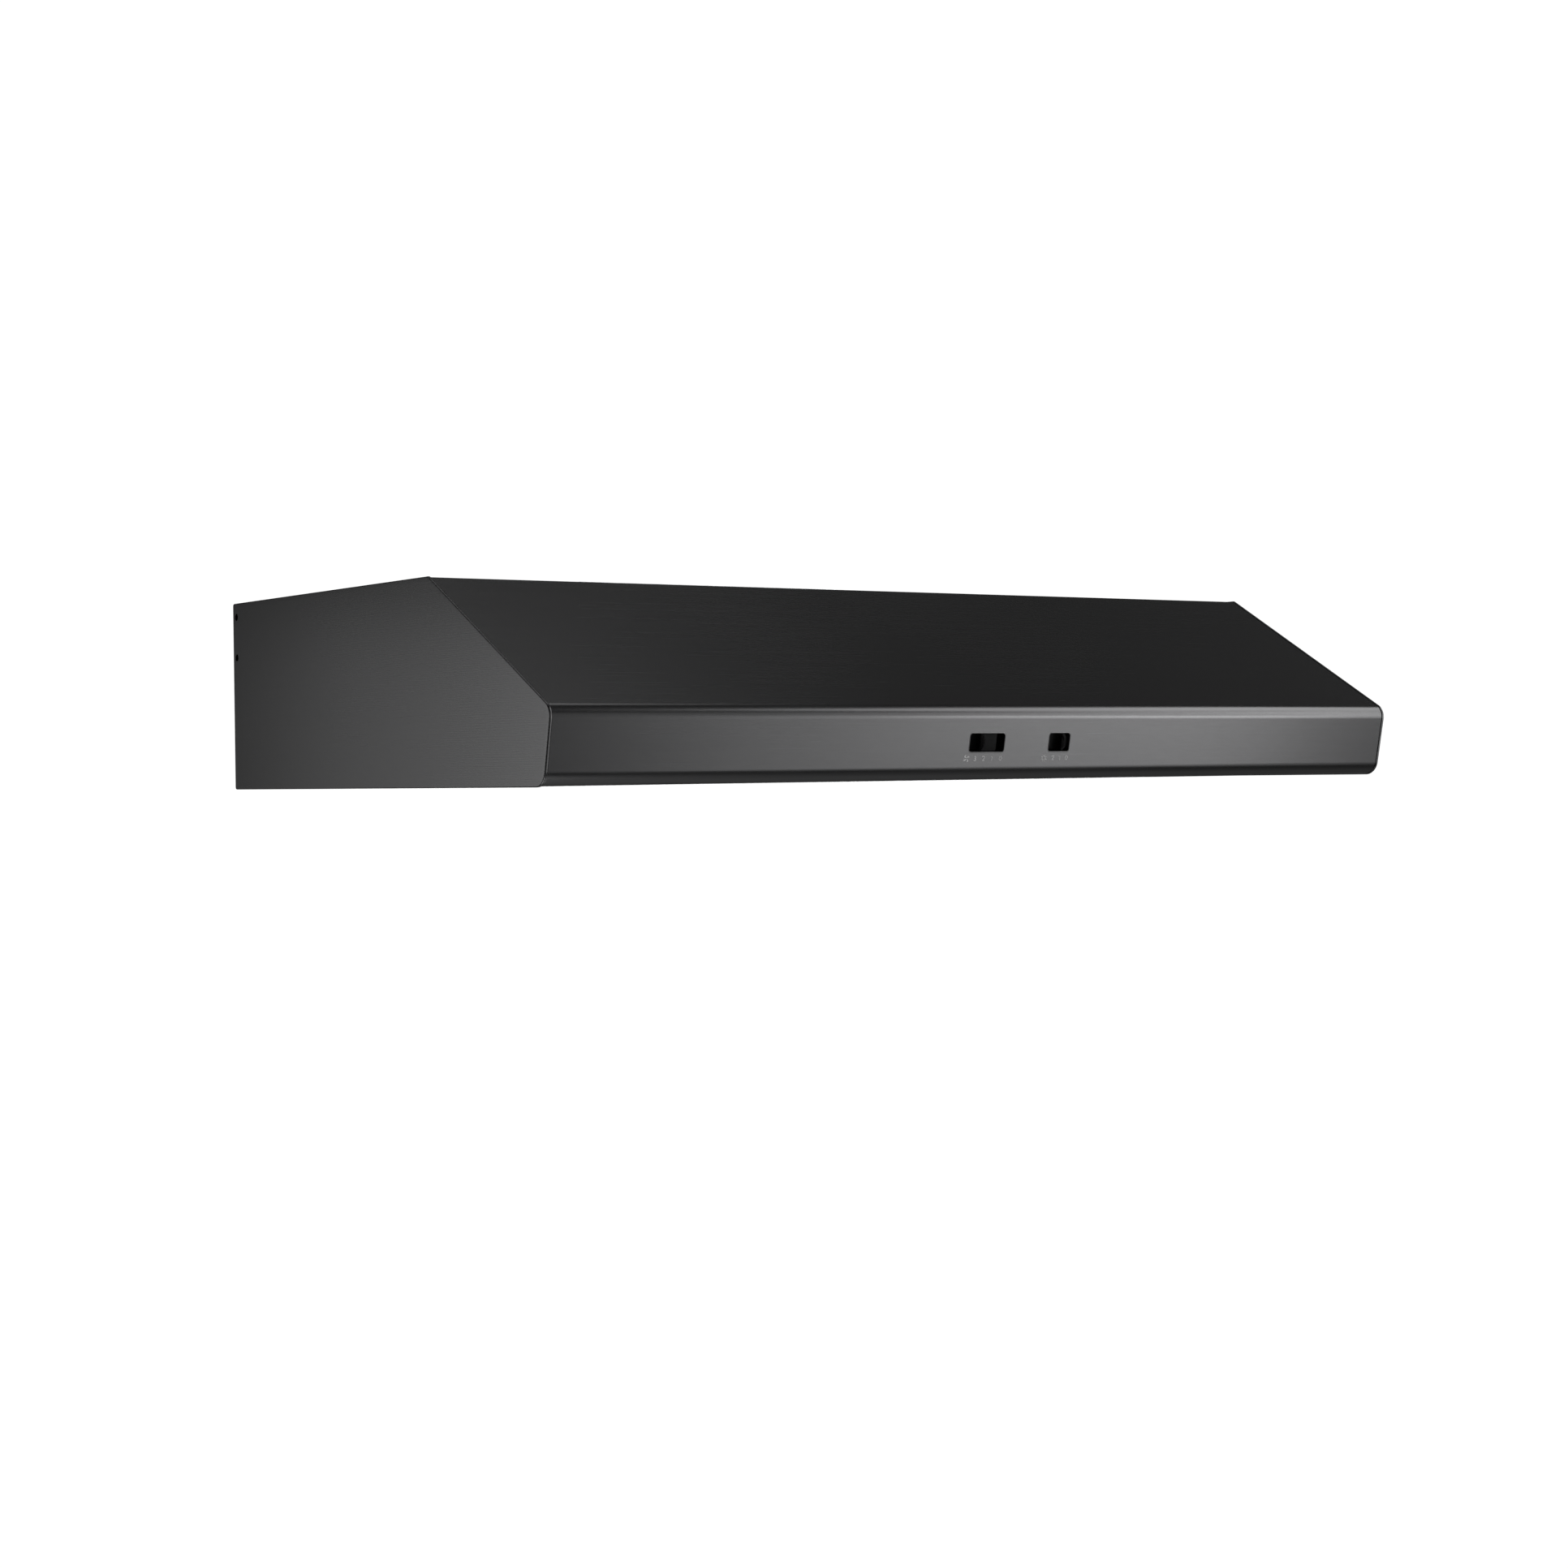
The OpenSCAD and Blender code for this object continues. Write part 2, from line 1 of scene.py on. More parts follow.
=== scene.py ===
import bpy, bmesh, math
from mathutils import Vector, Matrix


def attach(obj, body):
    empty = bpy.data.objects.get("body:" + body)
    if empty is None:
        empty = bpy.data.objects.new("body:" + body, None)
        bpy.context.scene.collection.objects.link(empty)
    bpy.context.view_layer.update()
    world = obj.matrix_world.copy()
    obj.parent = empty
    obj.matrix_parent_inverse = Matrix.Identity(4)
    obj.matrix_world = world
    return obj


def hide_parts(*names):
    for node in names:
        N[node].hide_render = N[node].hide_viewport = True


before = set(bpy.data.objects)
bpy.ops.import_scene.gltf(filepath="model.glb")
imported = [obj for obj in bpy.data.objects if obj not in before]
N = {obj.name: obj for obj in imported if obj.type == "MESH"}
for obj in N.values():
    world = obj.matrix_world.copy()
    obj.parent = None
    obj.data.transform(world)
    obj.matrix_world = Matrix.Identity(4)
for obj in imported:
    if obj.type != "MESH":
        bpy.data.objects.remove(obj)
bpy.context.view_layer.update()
scene = bpy.context.scene
scene.view_settings.view_transform = "Standard"
scene.view_settings.look = "None"

# ---------------------------------------------------------------- hood numbers (mm, wall at y = 0, rim at z = 0)
W2 = 379.4
H = 146.0
T = 0.8
CORN = [(0.0, 0.0), (0.0, H), (-337.9, H), (-508.0, 50.5), (-497.7, 0.0)]
RAD = [1.6, 1.6, 2.2, 10.0, 12.0]
TILT = math.atan(10.3 / 50.5)


def mm(x, y, z):
    """A point in hood millimetres to the row frame in metres."""
    return Vector((x / 1000.0, (y + 160.0) / 1000.0, (z - 146.0) / 1000.0))


def unit(v):
    n = math.hypot(v[0], v[1])
    return (v[0] / n, v[1] / n)


def arc(i, d, n):
    """Points [y, z] round bend i of the side profile, at depth d inside the outer face."""
    p, c, q = CORN[i - 1], CORN[i], CORN[(i + 1) % 5]
    e0 = unit((c[0] - p[0], c[1] - p[1]))
    e1 = unit((q[0] - c[0], q[1] - c[1]))
    o0, o1 = (e0[1], -e0[0]), (e1[1], -e1[0])
    u, v = (-e0[0], -e0[1]), e1
    h = math.acos(u[0] * v[0] + u[1] * v[1]) / 2
    m = unit((u[0] + v[0], u[1] + v[1]))
    k = RAD[i] / math.sin(h)
    cx, cy = c[0] + m[0] * k, c[1] + m[1] * k
    a0, a1 = math.atan2(o0[1], o0[0]), math.atan2(o1[1], o1[0])
    s = a1 - a0
    if s < 0:
        s += 2 * math.pi
    r = RAD[i] - d
    if r <= 0:
        k = d / math.sin(h)
        return [(c[0] + m[0] * k, c[1] + m[1] * k)] * (n + 1)
    return [(cx + r * math.cos(a0 + s * k2 / n), cy + r * math.sin(a0 + s * k2 / n)) for k2 in range(n + 1)]


# ---------------------------------------------------------------- camera, at the photograph's angle
az, el, roll = math.radians(34.101), math.radians(0.219), math.radians(-0.766)
fwd = Vector((math.sin(az) * math.cos(el), math.cos(az) * math.cos(el), -math.sin(el)))
right = fwd.cross(Vector((0, 0, 1))).normalized()
up = right.cross(fwd)
r2 = math.cos(roll) * right + math.sin(roll) * up
u2 = -math.sin(roll) * right + math.cos(roll) * up
cam_data = bpy.data.cameras.new("camera")
cam_data.lens = 64.88
cam_data.sensor_width = 36.0
cam_data.clip_end = 60
cam = bpy.data.objects.new("camera", cam_data)
scene.collection.objects.link(cam)
R = Matrix((r2, u2, -fwd)).transposed().to_4x4()
cam.matrix_world = Matrix.Translation(mm(-1275.827, -2099.79, 6.588)) @ R
scene.camera = cam

# ---------------------------------------------------------------- material helpers


def new_mat(name):
    m = bpy.data.materials.new(name)
    m.use_nodes = True
    nt = m.node_tree
    for n in list(nt.nodes):
        nt.nodes.remove(n)
    out = nt.nodes.new("ShaderNodeOutputMaterial")
    bs = nt.nodes.new("ShaderNodeBsdfPrincipled")
    nt.links.new(bs.outputs[0], out.inputs[0])
    return m, nt, bs


def add(nt, kind, **kw):
    n = nt.nodes.new(kind)
    for k, v in kw.items():
        setattr(n, k, v)
    return n


def coords(nt, scale, rot=(0, 0, 0)):
    tc = add(nt, "ShaderNodeTexCoord")
    mp = add(nt, "ShaderNodeMapping")
    mp.inputs["Scale"].default_value = scale
    mp.inputs["Rotation"].default_value = rot
    nt.links.new(tc.outputs["Object"], mp.inputs["Vector"])
    return mp.outputs["Vector"]


def noise(nt, vec, scale, detail=4.0, rough=0.55, dist=0.0):
    n = add(nt, "ShaderNodeTexNoise")
    n.inputs["Scale"].default_value = scale
    n.inputs["Detail"].default_value = detail
    n.inputs["Roughness"].default_value = rough
    n.inputs["Distortion"].default_value = dist
    nt.links.new(vec, n.inputs["Vector"])
    return n.outputs["Fac"]


def remap(nt, val, a, b, lo, hi):
    n = add(nt, "ShaderNodeMapRange")
    n.inputs["From Min"].default_value = a
    n.inputs["From Max"].default_value = b
    n.inputs["To Min"].default_value = lo
    n.inputs["To Max"].default_value = hi
    nt.links.new(val, n.inputs["Value"])
    return n.outputs["Result"]


def ramp2(nt, val, c0, c1, p0=0.0, p1=1.0):
    n = add(nt, "ShaderNodeValToRGB")
    e = n.color_ramp.elements
    e[0].position, e[1].position = p0, p1
    e[0].color = (*c0, 1) if len(c0) == 3 else c0
    e[1].color = (*c1, 1) if len(c1) == 3 else c1
    nt.links.new(val, n.inputs["Fac"])
    return n.outputs["Color"]


def mixf(nt, a, b, mode="ADD"):
    n = add(nt, "ShaderNodeMath", operation=mode)
    nt.links.new(a, n.inputs[0])
    if isinstance(b, float):
        n.inputs[1].default_value = b
    else:
        nt.links.new(b, n.inputs[1])
    return n.outputs[0]


def bump(nt, bs, height, strength, distance):
    n = add(nt, "ShaderNodeBump")
    n.inputs["Strength"].default_value = strength
    n.inputs["Distance"].default_value = distance
    nt.links.new(height, n.inputs["Height"])
    nt.links.new(n.outputs["Normal"], bs.inputs["Normal"])


def brushed(name, base, grain=(3.0, 700.0, 700.0), rough=(0.28, 0.42), metallic=1.0, contrast=0.16, aniso=0.0, tangent=None, bump_s=0.05):
    """Brushed sheet: long fine scratches, short brighter ticks and slow cloudy variation."""
    m, nt, bs = new_mat(name)
    bs.inputs["Metallic"].default_value = metallic
    v1 = coords(nt, grain)
    fine = noise(nt, v1, 1.0, 5.0, 0.7)
    v2 = coords(nt, tuple(g * (14.0 if g < 50 else 0.55) for g in grain))
    ticks = noise(nt, v2, 1.0, 3.0, 0.6)
    v3 = coords(nt, (2.2, 2.2, 2.2))
    cloud = noise(nt, v3, 1.0, 2.0, 0.5)
    lo = tuple(c * (1 - contrast) for c in base)
    hi = tuple(min(1.0, c * (1 + contrast)) for c in base)
    s = mixf(nt, mixf(nt, fine, 0.62, "MULTIPLY"), mixf(nt, ticks, 0.38, "MULTIPLY"))
    col = ramp2(nt, s, lo, hi, 0.34, 0.66)
    nt.links.new(col, bs.inputs["Base Color"])
    rr = mixf(nt, remap(nt, fine, 0.3, 0.7, rough[0], rough[1]), remap(nt, cloud, 0.3, 0.7, -0.025, 0.025))
    nt.links.new(rr, bs.inputs["Roughness"])
    if aniso:
        bs.inputs["Anisotropic"].default_value = aniso
        if tangent:
            tg = add(nt, "ShaderNodeTangent", direction_type="UV_MAP")
            tg.uv_map = tangent
            nt.links.new(tg.outputs[0], bs.inputs["Tangent"])
    bump(nt, bs, fine, bump_s, 0.0002)
    return m


def plain(name, base, rough=(0.4, 0.55), metallic=0.0, scale=180.0, contrast=0.12, bump_s=0.08, dist=0.0003, coat=0.0, spec=0.5):
    """Moulded or painted surface with a fine texture and slight unevenness."""
    m, nt, bs = new_mat(name)
    bs.inputs["Metallic"].default_value = metallic
    bs.inputs["Specular IOR Level"].default_value = spec
    if coat:
        bs.inputs["Coat Weight"].default_value = coat
        bs.inputs["Coat Roughness"].default_value = 0.12
    v = coords(nt, (1, 1, 1))
    f = noise(nt, v, scale, 4.0, 0.6)
    c = noise(nt, v, scale * 0.06, 2.0, 0.5)
    lo = tuple(x * (1 - contrast) for x in base)
    hi = tuple(min(1.0, x * (1 + contrast)) for x in base)
    nt.links.new(ramp2(nt, mixf(nt, mixf(nt, f, 0.5, "MULTIPLY"), mixf(nt, c, 0.5, "MULTIPLY")), lo, hi, 0.35, 0.65), bs.inputs["Base Color"])
    nt.links.new(remap(nt, f, 0.3, 0.7, rough[0], rough[1]), bs.inputs["Roughness"])
    bump(nt, bs, f, bump_s, dist)
    return m


def galvanised(name, base=(0.46, 0.47, 0.48)):
    """Zinc-coated sheet with a faint spangle."""
    m, nt, bs = new_mat(name)
    bs.inputs["Metallic"].default_value = 1.0
    v = coords(nt, (1, 1, 1))
    vo = add(nt, "ShaderNodeTexVoronoi")
    vo.inputs["Scale"].default_value = 210.0
    nt.links.new(v, vo.inputs["Vector"])
    sep = add(nt, "ShaderNodeSeparateColor")
    nt.links.new(vo.outputs["Color"], sep.inputs[0])
    f = noise(nt, v, 420.0, 3.0, 0.6)
    lo = tuple(x * 0.93 for x in base)
    hi = tuple(min(1, x * 1.06) for x in base)
    nt.links.new(ramp2(nt, sep.outputs[0], lo, hi), bs.inputs["Base Color"])
    nt.links.new(mixf(nt, remap(nt, sep.outputs[1], 0, 1, 0.34, 0.41), remap(nt, f, 0.3, 0.7, -0.03, 0.05)), bs.inputs["Roughness"])
    bump(nt, bs, f, 0.05, 0.0002)
    return m


# ---------------------------------------------------------------- materials
M = {}
M["wrap"] = brushed("black_stainless_front", (0.062, 0.062, 0.063), grain=(6.0, 1300.0, 1300.0), rough=(0.24, 0.272), aniso=0.3, tangent="grain", contrast=0.07, bump_s=0.012)
M["side"] = brushed("black_stainless_side", (0.062, 0.062, 0.063), grain=(1300.0, 9.0, 1300.0), rough=(0.27, 0.295), aniso=0.25, tangent="grain", contrast=0.045, bump_s=0.006)
M["rim"] = brushed("cut_edge_steel", (0.078, 0.078, 0.079), grain=(60.0, 400.0, 400.0), rough=(0.30, 0.38))
# painted shade: the knob's base plate and dish floor get a much darker copy of the knob plastic, so the deep recess
# reads as shaded
M["knob_painted_shade"] = plain("knob_recess_painted_shade", (0.0022, 0.0022, 0.0024), rough=(0.62, 0.75), scale=1100.0, spec=0.12)
M["mesh_core"] = brushed("mesh_core_aluminium", (0.30, 0.305, 0.31), grain=(260.0, 260.0, 260.0), rough=(0.4, 0.55))
M["pan"] = plain("black_paint", (0.035, 0.035, 0.036), rough=(0.38, 0.5), scale=600.0, coat=0.2)
M["galv"] = galvanised("galvanised_sheet")
M["frame"] = brushed("mill_aluminium", (0.62, 0.63, 0.64), grain=(6.0, 500.0, 500.0), rough=(0.3, 0.42))
M["mesh"] = brushed("mesh_aluminium", (0.6, 0.61, 0.62), grain=(200.0, 200.0, 200.0), rough=(0.25, 0.4))
M["flap"] = brushed("flap_aluminium", (0.66, 0.67, 0.68), grain=(5.0, 500.0, 500.0), rough=(0.28, 0.4))
M["spring"] = brushed("spring_steel", (0.5, 0.5, 0.51), grain=(40.0, 900.0, 900.0), rough=(0.18, 0.28))
M["wheel"] = brushed("impeller_sheet", (0.42, 0.43, 0.44), grain=(8.0, 400.0, 400.0), rough=(0.32, 0.45))
M["shaft"] = brushed("ground_steel", (0.6, 0.6, 0.61), grain=(900.0, 20.0, 20.0), rough=(0.14, 0.22))
M["iron"] = brushed("laminations", (0.2, 0.2, 0.21), grain=(1400.0, 8.0, 8.0), rough=(0.4, 0.55))
M["copper"] = brushed("copper_wire", (0.72, 0.33, 0.14), grain=(1600.0, 60.0, 60.0), rough=(0.25, 0.4))
M["bell"] = plain("die_cast", (0.5, 0.51, 0.52), rough=(0.42, 0.58), metallic=1.0, scale=350.0, bump_s=0.2)
M["switch"] = plain("switch_moulding", (0.0035, 0.0035, 0.0038), rough=(0.6, 0.72), scale=900.0, spec=0.15)
M["knob"] = plain("knob_moulding", (0.013, 0.013, 0.0135), rough=(0.55, 0.68), scale=1100.0, spec=0.2)
M["lamp"] = brushed("lamp_reflector", (0.66, 0.66, 0.66), grain=(60.0, 60.0, 60.0), rough=(0.2, 0.32))
M["board"] = plain("led_board", (0.82, 0.82, 0.78), rough=(0.35, 0.45), scale=700.0, contrast=0.04)
M["term"] = plain("terminal_moulding", (0.72, 0.69, 0.6), rough=(0.45, 0.6), scale=500.0, contrast=0.05)
M["can"] = brushed("capacitor_can", (0.62, 0.63, 0.65), grain=(4.0, 300.0, 300.0), rough=(0.25, 0.36))
M["sleeve"] = plain("wire_sleeve", (0.02, 0.02, 0.021), rough=(0.6, 0.75), scale=1500.0, bump_s=0.5)
M["zinc"] = brushed("zinc_plate", (0.55, 0.56, 0.57), grain=(300.0, 300.0, 300.0), rough=(0.22, 0.34))
M["print"] = plain("control_print", (0.33, 0.33, 0.33), rough=(0.5, 0.6), scale=1500.0, contrast=0.06)

# frosted lens
m, nt, bs = new_mat("frosted_lens")
bs.inputs["Transmission Weight"].default_value = 0.55
bs.inputs["IOR"].default_value = 1.49
v = coords(nt, (1, 1, 1))
f = noise(nt, v, 1400.0, 3.0, 0.6)
nt.links.new(ramp2(nt, f, (0.80, 0.81, 0.80), (0.90, 0.91, 0.90), 0.3, 0.7), bs.inputs["Base Color"])
nt.links.new(remap(nt, f, 0.3, 0.7, 0.32, 0.46), bs.inputs["Roughness"])
bump(nt, bs, f, 0.25, 0.0003)
M["lens"] = m

NODE_MAT = {
    "rear_panel": "galv", "rear_blanking_plate": "galv", "centre_rail": "pan", "left_side_rail": "pan", "right_side_rail": "pan",
    "wiring_box": "galv", "wiring_box_cover": "galv", "motor_strap": "galv", "rear_pan": "pan", "lamp_panel": "pan",
    "left_scroll": "galv", "right_scroll": "galv", "duct_collar": "galv", "damper_flap": "flap",
    "left_filter_frame": "frame", "right_filter_frame": "frame", "left_filter_mesh": "mesh", "right_filter_mesh": "mesh",
    "left_filter_clips": "spring", "right_filter_clips": "spring", "left_filter_pull": "spring", "right_filter_pull": "spring",
    "left_impeller": "wheel", "right_impeller": "wheel", "motor_shaft": "shaft", "damper_pin": "shaft", "motor_bearings": "shaft",
    "motor_rotor": "iron", "motor_stator": "iron", "motor_windings": "copper", "motor_left_bell": "bell", "motor_right_bell": "bell",
    "fan_switch_body": "switch", "light_switch_body": "switch", "fan_slider": "knob", "light_slider": "knob",
    "left_lamp_body": "lamp", "right_lamp_body": "lamp", "left_lamp_lens": "lens", "right_lamp_lens": "lens", "lamp_boards": "board",
    "terminal_block": "term", "run_capacitor": "can", "front_harness": "sleeve", "motor_lead": "sleeve",
    "blower_screws": "zinc", "collar_screws": "zinc", "cover_screws": "zinc", "blanking_screws": "zinc", "canopy_rivets": "zinc",
    "canopy_wrapper": "wrap", "left_end_panel": "side", "right_end_panel": "side",
}
for n, o in N.items():
    o.data.materials.clear()
    o.data.materials.append(M[NODE_MAT[n]])

# ---------------------------------------------------------------- mesh helpers


def obj_from(name, verts, faces, mat, smooth=35.0, uv=None):
    me = bpy.data.meshes.new(name)
    me.from_pydata([tuple(v) for v in verts], [], faces)
    me.validate(clean_customdata=False)
    bm = bmesh.new()
    bm.from_mesh(me)
    bmesh.ops.remove_doubles(bm, verts=bm.verts, dist=1e-7)
    bmesh.ops.recalc_face_normals(bm, faces=bm.faces)
    bm.to_mesh(me)
    bm.free()
    ob = bpy.data.objects.new(name, me)
    scene.collection.objects.link(ob)
    me.materials.append(M[mat])
    if smooth:
        me.polygons.foreach_set("use_smooth", [True] * len(me.polygons))
        me.set_sharp_from_angle(angle=math.radians(smooth))
    return ob


def apply_mods(ob):
    bpy.context.view_layer.update()
    dg = bpy.context.evaluated_depsgraph_get()
    me = bpy.data.meshes.new_from_object(ob.evaluated_get(dg), preserve_all_data_layers=True, depsgraph=dg)
    old = ob.data
    ob.modifiers.clear()
    ob.data = me
    me.name = old.name


def grain_uv(ob, axis):
    """A UV map whose u direction is across the brushing, for the tangent."""
    me = ob.data
    for l in list(me.uv_layers):
        me.uv_layers.remove(l)
    uv = me.uv_layers.new(name="grain")
    for p in me.polygons:
        n = p.normal
        g = Vector((1, 0, 0)) if axis == "x" else Vector((0, 1, 0))
        if abs(n.dot(g)) > 0.9:
            g = Vector((0, 1, 0)) if axis == "x" else Vector((1, 0, 0))
        across = n.cross(g).normalized()
        for li in p.loop_indices:
            co = me.vertices[me.loops[li].vertex_index].co
            uv.data[li].uv = (co.dot(across) * 4.0, co.dot(g) * 4.0)


def rr_pts(w, h, r, n=8):
    """Rounded rectangle round the origin."""
    out = []
    for cx, cy, a in ((w / 2 - r, h / 2 - r, 0), (-w / 2 + r, h / 2 - r, 90), (-w / 2 + r, -h / 2 + r, 180), (w / 2 - r, -h / 2 + r, 270)):
        for k in range(n + 1):
            t = math.radians(a + 90 * k / n)
            out.append((cx + r * math.cos(t), cy + r * math.sin(t)))
    return out


LIP = Matrix.Translation(mm(0, -508.0, 50.5)) @ Matrix.Rotation(math.radians(90) + TILT, 4, "X") @ Matrix.Scale(0.001, 4)


def lip(x, v, n):
    """A point on the lip: x along the hood, v up the lip from its top corner, n outward (mm)."""
    return LIP @ Vector((x, v, n))


def prism_world(name, pts, f0, f1, mat, smooth=35.0):
    """Closed prism between two maps of a 2D outline."""
    n = len(pts)
    verts = [f0(*p) for p in pts] + [f1(*p) for p in pts]
    faces = [tuple(range(n))[::-1], tuple(range(n, 2 * n))]
    faces += [(i, (i + 1) % n, n + (i + 1) % n, n + i) for i in range(n)]
    return obj_from(name, verts, faces, mat, smooth)


def cylinder_pts(r, n=40):
    return [(r * math.cos(2 * math.pi * k / n), r * math.sin(2 * math.pi * k / n)) for k in range(n)]


def cut(ob, cutters):
    for c in cutters:
        b = ob.modifiers.new("cut", "BOOLEAN")
        b.object = c
        b.operation = "DIFFERENCE"
        b.solver = "EXACT"
    apply_mods(ob)
    for c in cutters:
        me = c.data
        bpy.data.objects.remove(c)
        bpy.data.meshes.remove(me)


def finish_edges(ob, width, segments=2, angle=40.0, weighted=True):
    b = ob.modifiers.new("edge", "BEVEL")
    b.width = width
    b.segments = segments
    b.limit_method = "ANGLE"
    b.angle_limit = math.radians(angle)
    b.use_clamp_overlap = True
    b.harden_normals = False
    apply_mods(ob)
    me = ob.data
    me.polygons.foreach_set("use_smooth", [True] * len(me.polygons))
    me.set_sharp_from_angle(angle=math.radians(50))
    if weighted:
        w = ob.modifiers.new("weight", "WEIGHTED_NORMAL")
        w.keep_sharp = True
        w.mode = "FACE_AREA"
        w.weight = 80
        apply_mods(ob)


# ---------------------------------------------------------------- canopy wrapper
NB = {0: 6, 1: 6, 2: 10, 3: 26, 4: 26}


def path(d):
    """The wrapper's side line at depth d: rear flange, top, slope, lip, lower bend and turned-in edge."""
    pts = [(-d, 124.0)]
    pts += arc(1, d, NB[1])
    pts += arc(2, d, NB[2])
    pts += arc(3, d, NB[3])
    pts += arc(4, d, NB[4])
    pts.append((-497.7 + 19.2, d))
    return pts


XE = 377.28
RX = 0.38
ring = []
for k in range(7):
    f = math.radians(90 * k / 6)
    ring.append((XE - RX + RX * math.sin(math.pi / 2 - f), RX * (1 - math.cos(math.pi / 2 - f))))
ring = ring[::-1]            # from (XE - RX, 0) round to (XE, RX)
inner = []
inner.append((XE, T))
half = ring + inner
section = half + [(-x, d) for x, d in half[::-1]]
verts, faces = [], []
cols = [path(d) for _, d in section]
np_ = len(cols[0])
for (x, d), col in zip(section, cols):
    verts += [mm(x, y, z) for y, z in col]
ns = len(section)
for i in range(ns):
    j = (i + 1) % ns
    for k in range(np_ - 1):
        faces.append((i * np_ + k, j * np_ + k, j * np_ + k + 1, i * np_ + k + 1))
faces.append(tuple(i * np_ for i in range(ns)))
faces.append(tuple(i * np_ + np_ - 1 for i in range(ns))[::-1])
wrapper = obj_from("canopy_shell", verts, faces, "wrap", smooth=50)
cutters = [
    prism_world("c1", rr_pts(31.5, 13.6, 2.0), lambda a, b: lip(a - 18.2, b - 24.5, -3), lambda a, b: lip(a - 18.2, b - 24.5, 3), "wrap"),
    prism_world("c2", rr_pts(19.3, 13.6, 2.0), lambda a, b: lip(a + 48.5, b - 24.5, -3), lambda a, b: lip(a + 48.5, b - 24.5, 3), "wrap"),
]
for s in (-1, 1):
    x0, x1 = (46, 126) if s > 0 else (-126, -46)
    cutters.append(prism_world("c", [(x0, -111.6), (x1, -111.6), (x1, -31.0), (x0, -31.0)], lambda a, b: mm(a, b, 143), lambda a, b: mm(a, b, 149), "wrap"))
holes = [(x * 350, -160 + y * 120, 3.0) for x in (-1, 1) for y in (-1, 1)] + [(-235, -54, 11.1)]
for x, y, r in holes:
    cutters.append(prism_world("c", cylinder_pts(r), lambda a, b: mm(a + x, b + y, 143), lambda a, b: mm(a + x, b + y, 149), "wrap"))
cut(wrapper, cutters)
finish_edges(wrapper, 0.00022, 2, 40)
grain_uv(wrapper, "x")
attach(wrapper, "hood")
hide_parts("canopy_wrapper")

# ---------------------------------------------------------------- end panels


